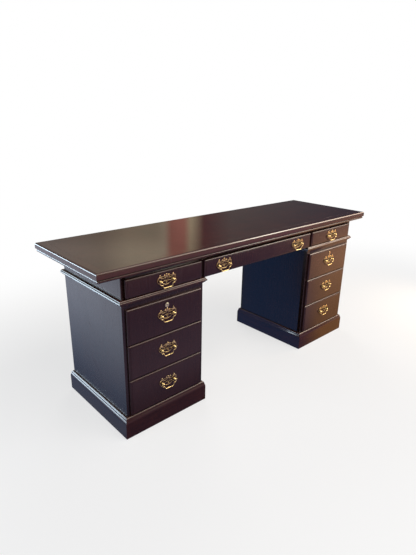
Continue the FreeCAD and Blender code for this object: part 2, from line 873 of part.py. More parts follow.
def make_plate():
    """Pierced back plate: lobes, most in mirrored pairs, each with a round piercing.

    Its back lies on the XZ plane and its origin is between the posts.
    """
    lobes = [("0", "plate_crest_rise", "plate_crest_lobe"),
             ("0", "-plate_base_drop", "plate_base_lobe")]
    bosses = [("0", "0", "plate_boss"), ("0", "plate_crest_rise / 2", "plate_band")]
    posts = []
    for side in (-1, 1):
        lobes += [
            (f"{side} * plate_ear_spread", "plate_ear_rise", "plate_ear_lobe"),
            (f"{side} * plate_tip_spread", "plate_tip_rise", "plate_tip_lobe"),
            (f"{side} * plate_scroll_spread", "plate_scroll_rise", "plate_scroll_lobe"),
            (f"{side} * plate_foot_spread", "-plate_foot_drop", "plate_foot_lobe"),
        ]
        bosses.append((f"{side} * post_spacing / 2", "0", "plate_boss"))
        posts.append((f"{side} * post_spacing / 2", "0", "post_shank / 2 + shank_gap"))
    piercings = [(x, z, f"{radius} - plate_band") for x, z, radius in lobes]
    pierced = cut("plate_pierced_lobes", discs("plate_lobes", lobes),
                  discs("plate_piercings", piercings))
    solid = document.addObject("Part::Fuse", "plate_with_bosses")
    solid.Base = pierced
    solid.Tool = discs("plate_bosses", bosses)
    return cut("pull_plate_pattern", solid, discs("plate_post_holes", posts))


def make_post():
    """Ball on a stem and collar, with a threaded shank; the origin is the bail's axis."""
    body = new_body("pull_post_pattern")
    ball = "post_ball / 2"
    stem = "post_stem / 2"
    neck = f"sqrt(({ball}) ^ 2 - ({stem}) ^ 2)"
    collar = "post_standoff - post_collar_height"
    shank = "post_shank / 2"
    tail = f"post_standoff + plate_thickness + {frontDepth} + post_tail"
    add_turning(body, [
        (0, f"-{ball}", ball, 1),
        (ball, 0, ball, 1),
        (stem, neck),
        (stem, collar),
        ("post_collar / 2", collar),
        ("post_collar / 2", "post_standoff"),
        (shank, "post_standoff"),
        (shank, tail),
        (0, tail),
    ])
    eye = new_sketch(body, "YZ_Plane")
    circle(eye, 0, 0, "bail_width / 2 + pin_play / 2")
    add_pocket(body, eye, both=True)
    return body


def make_nut():
    """Hexagon nut with its seat on the XZ plane."""
    blank = document.addObject("Part::Prism", "pull_nut_blank")
    blank.Polygon = 6
    bind(blank, Circumradius="nut_width / sqrt(3)", Height="nut_thickness")
    thread = document.addObject("Part::Cylinder", "pull_nut_thread")
    bind(thread, Radius="post_shank / 2 + pin_play / 2", Height="nut_thickness")
    nut = cut("pull_nut_pattern", blank, thread)
    nut.Placement = FreeCAD.Placement(FreeCAD.Vector(), FreeCAD.Rotation(along, -90))
    return nut


def make_bail():
    """Swan-neck bail hanging from the post axis, with its ends turned into the posts."""
    body = new_body("bail_pattern")
    half = "post_spacing / 2"
    leg = f"({half} + post_ball / 2 + bail_play + bail_width / 2)"
    shoulder = f"({leg} - bail_shoulder)"
    waist = f"({shoulder} - bail_step)"
    heel = f"({waist} - bail_heel)"
    levels = ["-bail_bend"]
    for bend in ("bail_shoulder", "bail_step", "bail_heel"):
        levels.append(f"({levels[-1]} - {bend})")
    right = [
        (f"({half} - bail_reach)", 0),
        (f"({leg} - bail_bend)", 0, "bail_bend", -1),
        (leg, levels[0], "bail_shoulder", -1),
        (shoulder, levels[1], "bail_step", 1),
        (waist, levels[2], "bail_heel", -1),
        (heel, levels[3]),
    ]
    left = []
    for index in reversed(range(len(right))):
        x, z = right[index][:2]
        bend = right[index - 1][2:] if index > 0 else ()
        left.append((f"-{x}", z) + bend)
    path = new_sketch(body, "XZ_Plane")
    trace(path, right + left, closed=False)
    section = new_sketch(body, "YZ_Plane", f"({half} - bail_reach)")
    circle(section, 0, 0, "bail_width / 2")
    document.recompute()
    pipe = body.newObject("PartDesign::AdditivePipe", "bail_pipe")
    pipe.Profile = section
    pipe.Spine = (path, [])
    return body


def shifted(thing, name, x=0, y=0, z=0):
    """A copy of a pattern piece at another place."""
    copy = document.addObject("Part::Compound", name)
    copy.Links = [thing]
    return place(copy, x, y, z)


def make_pull_patterns():
    """One back plate with its posts and nuts, with its origin on the bail's axis."""
    plate = shifted(make_plate(), "plate_on_front", y="plate_thickness + post_standoff")
    post = make_post()
    nut = make_nut()
    pieces = [plate]
    seat = f"post_standoff + plate_thickness + {frontDepth}"
    for side in (-1, 1):
        x = f"{side} * post_spacing / 2"
        pieces.append(shifted(post, f"post_{side + 1}", x=x))
        pieces.append(shifted(nut, f"nut_{side + 1}", x=x, y=seat))
    return pieces, make_bail()


def make_pulls(drawer, plate_pieces, bail):
    plates = []
    for hand, offset in drawer.pulls.items():
        pull = document.addObject("Part::Compound", f"{drawer.name}_{hand}pull")
        pull.Links = plate_pieces
        plates.append(place(pull, offset, bailAxis, drawer.pull_height))
        drawer.group(f"{hand}bail", [bail], offset, bailAxis, drawer.pull_height)
    drawer.group("pull_plates" if len(plates) > 1 else "pull_plate", plates)


# ---------------------------------------------------------------- locks

def make_lock_patterns():
    """Lock case and plug, with their origin on the front of the drawer's lip plane."""
    face = f"-{frontOfFront}"
    barrel = "lock_barrel / 2"
    bore = "lock_plug / 2 + pin_play / 2"
    rear = "(lip_gap + frame_thickness - cam_gap)"
    front = f"{face} - lock_face_height"
    case = new_body("lock_case_pattern")
    add_turning(case, [(bore, front), ("lock_face / 2", front), ("lock_face / 2", face),
                       (barrel, face), (barrel, rear), (bore, rear)])
    nut = new_body("lock_nut_pattern")
    nut_front = "tongue_depth"
    nut_rear = "tongue_depth + lock_nut_thickness"
    thread = "lock_barrel / 2 + pin_play / 2"
    add_turning(nut, [(thread, nut_front), ("lock_nut / 2", nut_front),
                      ("lock_nut / 2", nut_rear), (thread, nut_rear)])

    plug = new_body("lock_plug_pattern")
    cam_front = "(lip_gap + frame_thickness + cam_gap)"
    cam_rear = f"({cam_front} + cam_thickness)"
    stud_end = f"({cam_rear} + cam_nut_thickness)"
    add_turning(plug, [(0, front), ("lock_plug / 2", front), ("lock_plug / 2", cam_front),
                       ("cam_stud / 2", cam_front), ("cam_stud / 2", stud_end), (0, stud_end)])
    slot = new_sketch(plug, "XZ_Plane", f"-({front})")
    rectangle(slot, "-key_slot_width / 2", "-key_slot_length / 2",
              "key_slot_width / 2", "key_slot_length / 2")
    add_pocket(plug, slot, "key_slot_depth")

    cam = new_body("lock_cam_pattern")
    arm = new_sketch(cam, "XZ_Plane", f"-{cam_front}")
    half = "cam_width / 2"
    trace(arm, [(0, f"-{half}", half, 1), (0, half), ("-cam_length", half),
                ("-cam_length", f"-{half}")])
    stud_hole = "cam_stud / 2 + pin_play / 2"
    circle(arm, 0, 0, stud_hole)
    add_pad(cam, arm, "cam_thickness", back=True)
    cam_nut = new_body("cam_nut_pattern")
    add_turning(cam_nut, [(stud_hole, cam_rear), ("cam_nut / 2", cam_rear),
                          ("cam_nut / 2", stud_end), (stud_hole, stud_end)])
    return [case, nut], [plug, cam, cam_nut]


def make_locks(drawers):
    case_pieces, plug_pieces = make_lock_patterns()
    for drawer in drawers:
        if drawer.lock:
            drawer.group("lock_case", case_pieces, z=drawer.lock_height)
            drawer.group("lock_plug", plug_pieces, z=drawer.lock_height)


# ---------------------------------------------------------------- build

def build():
    make_top()
    make_top_blocks()
    make_frieze_frame()
    make_frieze_case()
    for side, sign in sideSign.items():
        make_pedestal(side, sign)
    make_pedestal_panels()
    make_glides()
    make_runners()
    drawers = all_drawers()
    plate_pieces, bail = make_pull_patterns()
    for drawer in drawers:
        make_front(drawer)
        make_box(drawer)
        make_pulls(drawer, plate_pieces, bail)
    make_locks(drawers)


def check_document():
    """Stop if any object failed, or if any sub-part has no sound solid."""
    for thing in document.Objects:
        if {"Invalid", "Error"} & set(thing.State):
            raise SystemExit(f"{thing.Name} ({thing.Label}) failed: {thing.State}")
    for node in nodes:
        shape = node.Shape
        if shape.isNull() or not shape.isValid() or not shape.Solids:
            raise SystemExit(f"{node.Label} has no sound solid")


def export():
    os.makedirs("parts", exist_ok=True)
    for node in nodes:
        node.Shape.exportStep(f"parts/{node.Label}.step")
        print(f"{node.Label}: {len(node.Shape.Solids)} solids, {node.Shape.Volume:.0f} mm3")


build()
document.recompute()
check_document()
export()
print(f"{len(nodes)} sub-parts written")
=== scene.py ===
import json
import math
import random

import bmesh
import bpy
from mathutils import Matrix, Vector

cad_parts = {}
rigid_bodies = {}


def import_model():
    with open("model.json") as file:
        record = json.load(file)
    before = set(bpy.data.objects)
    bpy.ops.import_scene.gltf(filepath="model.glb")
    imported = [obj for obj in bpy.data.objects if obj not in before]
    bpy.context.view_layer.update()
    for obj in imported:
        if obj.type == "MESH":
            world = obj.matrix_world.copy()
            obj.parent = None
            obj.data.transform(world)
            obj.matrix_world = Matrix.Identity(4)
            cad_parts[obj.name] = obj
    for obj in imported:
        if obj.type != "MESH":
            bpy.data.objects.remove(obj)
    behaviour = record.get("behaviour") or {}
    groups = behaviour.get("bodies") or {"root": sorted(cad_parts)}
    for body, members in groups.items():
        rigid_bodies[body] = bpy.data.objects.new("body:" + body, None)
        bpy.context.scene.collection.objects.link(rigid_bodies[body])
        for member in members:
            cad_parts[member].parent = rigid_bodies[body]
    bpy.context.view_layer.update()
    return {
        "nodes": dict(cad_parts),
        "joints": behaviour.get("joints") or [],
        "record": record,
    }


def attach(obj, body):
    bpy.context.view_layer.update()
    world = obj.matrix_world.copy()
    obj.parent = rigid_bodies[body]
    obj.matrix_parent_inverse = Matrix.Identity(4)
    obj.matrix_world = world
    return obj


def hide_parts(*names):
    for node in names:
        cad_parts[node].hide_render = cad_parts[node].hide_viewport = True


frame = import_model()
nodes = frame["nodes"]
bodyOf = {node: body for body, members in frame["record"]["behaviour"]["bodies"].items()
          for node in members}
slotOf = {part["node"]: part["material_slot"] for part in frame["record"]["subparts"]}
mm = 0.001
print("frame loaded:", len(nodes), "nodes")


# camera

camera = {
    "place": (-1.5907, -1.5778, 1.2769),
    "turn": -42.679,      # degrees from looking straight back
    "tilt": -19.781,
    "roll": 1.069,
    "focalPixels": 434.0,
    "imageHeight": 555,
}


def makeCamera(settings):
    turn, tilt, roll = (math.radians(settings[key]) for key in ("turn", "tilt", "roll"))
    forward = Vector((math.sin(-turn) * math.cos(tilt), math.cos(turn) * math.cos(tilt),
                      math.sin(tilt)))
    level = forward.cross(Vector((0, 0, 1))).normalized()
    upright = level.cross(forward)
    right = level * math.cos(roll) + upright * math.sin(roll)
    top = upright * math.cos(roll) - level * math.sin(roll)
    data = bpy.data.cameras.new("camera")
    data.sensor_fit = "VERTICAL"
    data.sensor_height = 36
    data.lens = 36 * settings["focalPixels"] / settings["imageHeight"]
    data.clip_end = 100
    view = bpy.data.objects.new("camera", data)
    bpy.context.scene.collection.objects.link(view)
    turned = Matrix((right, top, -forward)).transposed()
    view.matrix_world = Matrix.Translation(settings["place"]) @ turned.to_4x4()
    bpy.context.scene.camera = view


makeCamera(camera)
print("camera set")


# node helpers for the materials

def addNode(tree, kind, inputs=None, **settings):
    node = tree.nodes.new(kind)
    for key, value in settings.items():
        setattr(node, key, value)
    for key, value in (inputs or {}).items():
        plug(tree, value, node.inputs[key])
    return node


def plug(tree, value, socket):
    if isinstance(value, bpy.types.NodeSocket):
        tree.links.new(value, socket)
    else:
        socket.default_value = value


def calc(tree, operation, first, second=0.0, third=0.0, clamp=False):
    node = addNode(tree, "ShaderNodeMath", {0: first, 1: second, 2: third},
                   operation=operation)
    node.use_clamp = clamp
    return node.outputs[0]


def scaled(tree, vector, factors):
    return addNode(tree, "ShaderNodeVectorMath", {0: vector, 1: factors},
                   operation="MULTIPLY").outputs[0]


def noiseAt(tree, vector, scale, detail=3.0, roughness=0.5, distortion=0.0):
    node = addNode(tree, "ShaderNodeTexNoise", {
        "Vector": vector, "Scale": scale, "Detail": detail, "Roughness": roughness,
        "Distortion": distortion})
    return node.outputs["Fac"]


def spread(tree, value, low, high, outLow=0.0, outHigh=1.0):
    node = addNode(tree, "ShaderNodeMapRange", {
        "Value": value, "From Min": low, "From Max": high, "To Min": outLow,
        "To Max": outHigh}, interpolation_type="SMOOTHSTEP")
    return node.outputs["Result"]


def blendColours(tree, factor, first, second):
    node = addNode(tree, "ShaderNodeMix", data_type="RGBA")
    for name, value in (("Factor_Float", factor), ("A_Color", first), ("B_Color", second)):
        socket = next(plugged for plugged in node.inputs if plugged.identifier == name)
        plug(tree, value, socket)
    return next(out for out in node.outputs if out.identifier == "Result_Color")


def rgb(colour):
    return (*colour, 1.0)


def attribute(tree, name, output="Fac"):
    return addNode(tree, "ShaderNodeAttribute", attribute_name=name).outputs[output]


def objectPlace(tree):
    return addNode(tree, "ShaderNodeTexCoord").outputs["Object"]


def partOf(tree, place, axis):
    return addNode(tree, "ShaderNodeSeparateXYZ", {0: place}).outputs[axis]


def emptyMaterial(name):
    material = bpy.data.materials.new(name)
    material.use_nodes = True
    material.node_tree.nodes.clear()
    return material, material.node_tree


def newMaterial(name):
    material, tree = emptyMaterial(name)
    shader = addNode(tree, "ShaderNodeBsdfPrincipled")
    addNode(tree, "ShaderNodeOutputMaterial", {"Surface": shader.outputs[0]})
    return material, tree, shader


# wood

# grain is an attribute that runs along each board, so every board has its own figure
woods = {
    "top_veneer": {
        "dark": (0.027, 0.0075, 0.0062), "light": (0.078, 0.02, 0.014), "ribbon": 0.30,
        "rings": 0.35, "gloss": 0.08, "glossVaries": 0.04, "scuffs": 0.25,
        "wearColour": (0.16, 0.07, 0.045)},
    # the mouldings' wood is about twice as light as the boards' and redder, partly its own
    # tone and partly painted light: the extra light their upward-facing rounds catch
    "mahogany_moulding": {
        "dark": (0.027, 0.0075, 0.006), "light": (0.076, 0.02, 0.0135), "ribbon": 0.35,
        "rings": 0.25, "gloss": 0.11, "glossVaries": 0.05, "scuffs": 0.3,
        "wearColour": (0.2, 0.085, 0.055)},
    "mahogany": {
        "dark": (0.013, 0.0055, 0.0052), "light": (0.036, 0.0135, 0.0115), "ribbon": 0.4,
        "rings": 0.3, "gloss": 0.24, "glossVaries": 0.1, "scuffs": 0.5,
        "wearColour": (0.16, 0.075, 0.055)},
    "mahogany_fronts": {
        "dark": (0.021, 0.0068, 0.0066), "light": (0.044, 0.0142, 0.0123), "ribbon": 0.2,
        "rings": 0.16, "gloss": 0.2, "glossVaries": 0.07, "scuffs": 0.25, "ior": 1.42,
        "wearColour": (0.21, 0.12, 0.095)},
    "drawer_wood": {
        "dark": (0.24, 0.13, 0.06), "light": (0.46, 0.29, 0.15), "ribbon": 0.25,
        "rings": 0.6, "gloss": 0.5, "glossVaries": 0.08, "scuffs": 0.15, "ior": 1.4,
        "pores": 0.8, "wearColour": (0.5, 0.34, 0.2)},
    "inner_wood": {
        "dark": (0.22, 0.13, 0.07), "light": (0.42, 0.28, 0.16), "ribbon": 0.2,
        "rings": 0.8, "gloss": 0.62, "glossVaries": 0.08, "scuffs": 0.15, "ior": 1.4,
        "pores": 0.15, "wearColour": (0.46, 0.33, 0.2)},
}


# grain scales run along, across and through the board
figure = {
    "drift": (0.9, 4.0, 4.0), "ribbon": (1.3, 34.0, 34.0), "fibres": (9.0, 420.0, 420.0),
    "pores": (70.0, 1500.0, 1500.0), "mottle": (11.0, 7.0, 7.0), "streaks": (26.0, 26.0, 7.0),
    "ior": 1.45, "poreDepth": 0.5,
    "wander": 0.16, "ringTurns": 420.0, "poreShare": (0.6, 0.74), "ribbonGain": 2.4,
    "ringGain": 0.5, "fibreGain": 0.9, "mottleGain": 0.7, "toneGain": 0.16, "poreShade": 0.35,
    "wear": 38.0, "wearShare": (0.34, 0.72), "wearGain": 0.35, "wearLeast": 0.05,
    "cloud": 3.1, "cloudShare": (0.5, 0.78), "streakShare": (0.53, 0.68), "dustGain": 0.35,
    "dust": (0.13, 0.12, 0.125), "smear": 7.0, "poreDull": 0.12, "scuffDull": 0.22,
    "wearDull": 0.08, "fibreRise": 0.25, "bump": 0.06, "bumpDepth": 0.0004,
}


def makeWood(name, look):
    material, tree, shader = newMaterial(name)
    grain = attribute(tree, "grain", "Vector")
    tone = attribute(tree, "tone")
    worn = attribute(tree, "worn")
    place = objectPlace(tree)

    def layer(where, kind, *shape):
        return noiseAt(tree, scaled(tree, where, figure[kind]), 1.0, *shape)

    def added(value, extra, gain, clamp=False):
        return calc(tree, "ADD", value, calc(tree, "MULTIPLY", extra, gain), clamp=clamp)

    # growth rings, wandering slowly along the board
    drift = layer(grain, "drift", 2.0)
    across = added(partOf(tree, grain, "Y"), drift, figure["wander"])
    rings = calc(tree, "SINE", calc(tree, "MULTIPLY", across, figure["ringTurns"]))
    rings = calc(tree, "MULTIPLY_ADD", rings, 0.5, 0.5)
    # ribbon stripes, fine fibres and short pores
    ribbon = layer(grain, "ribbon", 2.0, 0.55)
    fibres = layer(grain, "fibres", 4.0, 0.6)
    pores = spread(tree, layer(grain, "pores", 1.0), *figure["poreShare"])
    mottle = layer(grain, "mottle", 3.0)

    shade = calc(tree, "MULTIPLY", calc(tree, "SUBTRACT", ribbon, 0.5),
                 look["ribbon"] * figure["ribbonGain"])
    for part, strength in ((rings, look["rings"] * figure["ringGain"]),
                           (fibres, figure["fibreGain"]), (mottle, figure["mottleGain"])):
        shade = added(shade, calc(tree, "SUBTRACT", part, 0.5), strength)
    shade = added(shade, tone, figure["toneGain"])
    shade = calc(tree, "ADD", shade, 0.5, clamp=True)
    colour = blendColours(tree, shade, rgb(look["dark"]), rgb(look["light"]))
    depth = look.get("pores", figure["poreDepth"])
    poreColour = rgb([part * figure["poreShade"] for part in look["dark"]])
    colour = blendColours(tree, calc(tree, "MULTIPLY", pores, depth), colour,
                          poreColour)

    # the finish thins along the edges, and dull scuffs gather in patches
    patchy = spread(tree, noiseAt(tree, place, figure["wear"], 5.0, 0.65),
                    *figure["wearShare"])
    patchy = calc(tree, "MULTIPLY_ADD", patchy, figure["wearGain"], figure["wearLeast"])
    rubbed = calc(tree, "MULTIPLY", worn, patchy, clamp=True)
    colour = blendColours(tree, rubbed, colour, rgb(look["wearColour"]))
    cloud = spread(tree, noiseAt(tree, place, figure["cloud"], 4.0, 0.6, 0.6),
                   *figure["cloudShare"])
    streaks = spread(tree, layer(place, "streaks", 5.0, 0.7, 1.2), *figure["streakShare"])
    scuffs = calc(tree, "MULTIPLY", calc(tree, "MULTIPLY", cloud, streaks), look["scuffs"])
    dust = calc(tree, "MULTIPLY", scuffs, figure["dustGain"])
    colour = blendColours(tree, dust, colour, rgb(figure["dust"]))
    plug(tree, colour, shader.inputs["Base Color"])

    smear = calc(tree, "SUBTRACT", noiseAt(tree, place, figure["smear"], 6.0, 0.62), 0.5)
    gloss = calc(tree, "ADD", calc(tree, "MULTIPLY", smear, look["glossVaries"] * 2),
                 look["gloss"])
    gloss = added(gloss, pores, figure["poreDull"])
    gloss = added(gloss, scuffs, figure["scuffDull"])
    plug(tree, added(gloss, rubbed, figure["wearDull"], True), shader.inputs["Roughness"])
    shader.inputs["IOR"].default_value = look.get("ior", figure["ior"])

    height = calc(tree, "SUBTRACT", calc(tree, "MULTIPLY", fibres, figure["fibreRise"]), pores)
    bump = addNode(tree, "ShaderNodeBump", {
        "Strength": figure["bump"], "Distance": figure["bumpDepth"], "Height": height})
    plug(tree, bump.outputs[0], shader.inputs["Normal"])
    return material


# metal

metals = {
    "antique_brass": {
        "bright": (0.8, 0.64, 0.29), "mid": (0.36, 0.26, 0.12), "deep": (0.03, 0.02, 0.012),
        "gloss": 0.2, "dull": 0.5},
    "lock_brass": {
        "bright": (0.42, 0.33, 0.19), "mid": (0.26, 0.2, 0.11), "deep": (0.06, 0.045, 0.025),
        "gloss": 0.24, "dull": 0.42},
    "steel": {
        "bright": (0.66, 0.65, 0.43), "mid": (0.38, 0.37, 0.25), "deep": (0.08, 0.08, 0.07),
        "gloss": 0.28, "dull": 0.46},
}


tarnishing = {
    "cloud": 210.0, "cloudGain": 0.7, "speck": 900.0, "speckShare": (0.62, 0.75),
    "low": (0.05, 0.42), "high": (0.4, 0.85), "speckShade": 0.35, "speckDull": 0.15,
    "bump": 0.12, "bumpDepth": 0.0002,
}


def makeMetal(name, look):
    material, tree, shader = newMaterial(name)
    raised = attribute(tree, "raised")
    place = objectPlace(tree)
    tarnish = noiseAt(tree, place, tarnishing["cloud"], 5.0, 0.65)
    specks = spread(tree, noiseAt(tree, place, tarnishing["speck"], 2.0),
                    *tarnishing["speckShare"])
    uneven = calc(tree, "MULTIPLY", calc(tree, "SUBTRACT", tarnish, 0.5),
                  tarnishing["cloudGain"])
    polish = calc(tree, "ADD", raised, uneven)
    low = spread(tree, polish, *tarnishing["low"])
    high = spread(tree, polish, *tarnishing["high"])
    colour = blendColours(tree, low, rgb(look["deep"]), rgb(look["mid"]))
    colour = blendColours(tree, high, colour, rgb(look["bright"]))
    colour = blendColours(tree, calc(tree, "MULTIPLY", specks, tarnishing["speckShade"]),
                          colour, rgb(look["deep"]))
    plug(tree, colour, shader.inputs["Base Color"])
    gloss = calc(tree, "ADD", calc(tree, "MULTIPLY", high, look["gloss"] - look["dull"]),
                 look["dull"])
    gloss = calc(tree, "ADD", gloss, calc(tree, "MULTIPLY", specks, tarnishing["speckDull"]),
                 clamp=True)
    plug(tree, gloss, shader.inputs["Roughness"])
    shader.inputs["Metallic"].default_value = 1.0
    bump = addNode(tree, "ShaderNodeBump", {
        "Strength": tarnishing["bump"], "Distance": tarnishing["bumpDepth"],
        "Height": tarnish})
    plug(tree, bump.outputs[0], shader.inputs["Normal"])
    return material


materials = {name: makeWood(name, look) for name, look in woods.items()}
materials.update({name: makeMetal(name, look) for name, look in metals.items()})
print("materials made:", len(materials))


# mesh helpers

def meshObject(name, mesh):
    thing = bpy.data.objects.new(name, mesh)
    bpy.context.scene.collection.objects.link(thing)
    return thing


def meshOf(bm, name):
    mesh = bpy.data.meshes.new(name)
    bm.to_mesh(mesh)
    bm.free()
    return mesh


def bmeshOf(mesh):
    bm = bmesh.new()
    bm.from_mesh(mesh)
    return bm


def baked(thing):
    # the mesh with its modifiers in it, and the object gone
    bpy.context.view_layer.update()
    graph = bpy.context.evaluated_depsgraph_get()
    mesh = bpy.data.meshes.new_from_object(thing.evaluated_get(graph))
    bpy.data.objects.remove(thing)
    return mesh


def looseParts(bm):
    waiting = set(bm.verts)
    while waiting:
        stack = [waiting.pop()]
        part = []
        while stack:
            vert = stack.pop()
            part.append(vert)
            for edge in vert.link_edges:
                other = edge.other_vert(vert)
                if other in waiting:
                    waiting.remove(other)
                    stack.append(other)
        yield part


def softenEdges(bm, width, sharp=math.radians(28)):
    # rounds the sharp outer edges and returns the narrow faces that this makes
    bm.normal_update()
    edges = [edge for edge in bm.edges
             if edge.is_manifold and edge.is_convex and edge.calc_face_angle() > sharp]
    if not edges or not width:
        return []
    done = bmesh.ops.bevel(bm, geom=edges, offset=width, offset_type="OFFSET", segments=2,
                           profile=0.5, affect="EDGES", clamp_overlap=True)
    return done["faces"]


def layGrain(bm, seed, upright=False):
    # a coordinate along, across and through each board, in metres, with its own start
    dice = random.Random(seed)
    grain = bm.verts.layers.float_vector.new("grain")
    tone = bm.verts.layers.float.new("tone")
    for part in sorted(looseParts(bm), key=lambda verts: min(tuple(v.co) for v in verts)):
        extents = [max(v.co[axis] for v in part) - min(v.co[axis] for v in part)
                   for axis in range(3)]
        axes = sorted(range(3), key=lambda axis: -extents[axis])
        if upright:
            axes = [2] + [axis for axis in axes if axis != 2]
        start = Vector([dice.uniform(0, 9) for axis in range(3)])
        shade = dice.uniform(-1, 1)
        for vert in part:
            vert[grain] = Vector([vert.co[axis] for axis in axes]) + start
            vert[tone] = shade


def layRunGrain(bm, seed):
    # on a mitred ring the grain follows each run, so it is laid face by face
    dice = random.Random(seed)
    starts = {(run, side): Vector([dice.uniform(0, 9) for axis in range(3)])
              for run in "xy" for side in (False, True)}
    grain = bm.loops.layers.float_vector.new("grain")
    tone = bm.faces.layers.float.new("tone")
    for face in bm.faces:
        longest = max(face.edges, key=lambda edge: edge.calc_length())
        way = longest.verts[1].co - longest.verts[0].co
        centre = face.calc_center_median()
        lengthwise = abs(way.x) > abs(way.y)
        start = starts["x", centre.y > 0] if lengthwise else starts["y", centre.x > 0]
        face[tone] = start.x / 4.5 - 1
        for loop in face.loops:
            x, y, z = loop.vert.co
            loop[grain] = Vector((x, y, z) if lengthwise else (y, x, z)) + start


def finishMesh(bm, name, edgeWidth, layWood):
    narrow = set(softenEdges(bm, edgeWidth))
    layWood(bm)
    worn = bm.faces.layers.float.new("worn")
    for face in bm.faces:
        face.smooth = True
        face[worn] = 1.0 if face in narrow else 0.0
    mesh = meshOf(bm, name)
    mesh.set_sharp_from_angle(angle=math.radians(38))
    thing = meshObject(name, mesh)
    even = thing.modifiers.new("even", "WEIGHTED_NORMAL")
    even.keep_sharp = True
    mesh = baked(thing)
    mesh.name = name
    return mesh


def fit(name, mesh, body, slot, *replaced):
    # puts a finished mesh in the desk, in place of CAD nodes
    mesh.materials.clear()
    mesh.materials.append(materials[slot])
    thing = meshObject(name, mesh)
    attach(thing, body)
    if replaced:
        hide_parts(*replaced)
    return thing


def boardsOf(node):
    # a clean copy of a CAD node's triangles, with its flat faces whole again
    bm = bmeshOf(nodes[node].data)
    bmesh.ops.remove_doubles(bm, verts=bm.verts, dist=1e-5)
    bmesh.ops.dissolve_limit(bm, angle_limit=math.radians(0.4), verts=bm.verts,
                             edges=bm.edges)
    return bm


# boards, panels and drawers

edgeWidths = {             # how far each kind of edge is rounded over
    "frieze_front_frame": 0.25, "left_pedestal_frame": 0.25, "right_pedestal_frame": 0.25,
    "frieze_end_panels": 0.3, "left_pedestal_sides": 0.3, "right_pedestal_sides": 0.3,
    "frieze_back_panel": 0.4, "pedestal_back_panels": 0.4, "frieze_dividers": 0.4,
    "top_board": 0.12, "pedestal_tops_and_floors": 0.5, "drawer_runners": 0.8,
    "top_fixing_blocks": 0.8, "front": 0.55, "box": 0.5,
}


def dressBoards():
    count = 0
    for number, node in enumerate(sorted(nodes)):
        kind = node.rsplit("_", 1)[-1]
        key = node if node in edgeWidths else kind
        if key not in edgeWidths:
            continue
        bm = boardsOf(node)
        upright = kind == "front"
        mesh = finishMesh(bm, node + "_wood", edgeWidths[key] * mm,
                          lambda board: layGrain(board, number, upright))
        fit(node + "_wood", mesh, bodyOf[node], slotOf[node], node)
        count += 1
    print("boards dressed:", count)


dressBoards()


# mouldings

top = {"length": 1749, "depth": 460, "height": 770, "edge": 40, "thickness": 42,
       "nose": 9, "fascia": 26, "chamfer": 5, "quirk": 2.5, "bead": 6.5, "beadSetback": 4,
       "rounding": 0.35}
waist = {"length": 415, "depth": 482, "height": 632, "tall": 25, "projection": 15,
         "shelf": 5, "beadWidth": 7, "beadFall": 5, "quirk": 1.2, "nose": 5.2, "ovolo": 6,
         "rounding": 0.3}
plinth = {"length": 415, "depth": 482, "height": 101, "tall": 98, "projection": 15,
          "shelf": 1.5, "beadWidth": 9, "beadFall": 8.4, "quirk": 2.6, "ovoloFall": 18,
          "rounding": 0.6}
pedestals = {"left": -597.5, "right": 597.5}
arcSteps = 9


def arcPoints(centre, radius, start, end, steps=arcSteps):
    turns = [math.radians(start + (end - start) * step / steps) for step in range(steps + 1)]
    return [(centre[0] + radius * math.cos(turn), centre[1] + radius * math.sin(turn))
            for turn in turns]


def topSection(size):
    # points are (out from the inner edge, up from the top), in millimetres
    out, nose, bead = size["edge"], size["nose"], size["bead"]
    beadTop = -size["fascia"] - size["quirk"]
    axis = out - size["beadSetback"] - bead
    return ([(0, 0)] + arcPoints((out - nose, -nose), nose, 90, 0)
            + [(out, -size["fascia"]), (out - size["chamfer"], beadTop)]
            + arcPoints((axis, beadTop - bead), bead, 90, -90, 14)
            + [(axis, -size["thickness"]), (0, -size["thickness"])])


def fallingBead(size):
    # starts level at the shelf and falls away more and more steeply
    flat, fall = size["beadWidth"], size["beadFall"]
    radius = (flat ** 2 + fall ** 2) / (2 * fall)
    end = math.degrees(math.acos(flat / radius))
    return arcPoints((size["shelf"], -radius), radius, 90, end, 7)


def waistSection(size):
    nose, ovolo = size["nose"], size["ovolo"]
    axis = size["projection"] - nose
    middle = -size["beadFall"] - size["quirk"] - nose
    return ([(0, 0)] + fallingBead(size) + arcPoints((axis, middle), nose, 90, -90, 14)
            + arcPoints((axis - ovolo, middle - nose), ovolo, 0, -90)[1:]
            + [(axis - ovolo, -size["tall"]), (0, -size["tall"])])


def plinthSection(size):
    out, fall = size["projection"], size["ovoloFall"]
    width = out - size["shelf"] - size["beadWidth"]
    radius = (width ** 2 + fall ** 2) / (2 * width)
    start = math.degrees(math.asin(fall / radius))
    foot = -size["beadFall"] - size["quirk"] - fall
    return ([(0, 0)] + fallingBead(size) + arcPoints((out - radius, foot), radius, start, 0)
            + [(out, -size["tall"]), (0, -size["tall"])])


def newTree(name, shape, sizes):
    # a tree with an input for a shape and one for each size
    tree = bpy.data.node_groups.new(name, "GeometryNodeTree")
    sockets = [(shape, "INPUT", "Geometry"), ("Geometry", "OUTPUT", "Geometry")]
    sockets += [(size, "INPUT", "Float") for size in sizes]
    for title, way, kind in sockets:
        tree.interface.new_socket(title, in_out=way, socket_type="NodeSocket" + kind)
    return tree, addNode(tree, "NodeGroupInput").outputs


def endTree(tree, shape, material):
    real = addNode(tree, "GeometryNodeRealizeInstances", {"Geometry": shape})
    painted = addNode(tree, "GeometryNodeSetMaterial",
                      {"Geometry": real.outputs[0], "Material": material})
    addNode(tree, "NodeGroupOutput", {"Geometry": painted.outputs[0]})


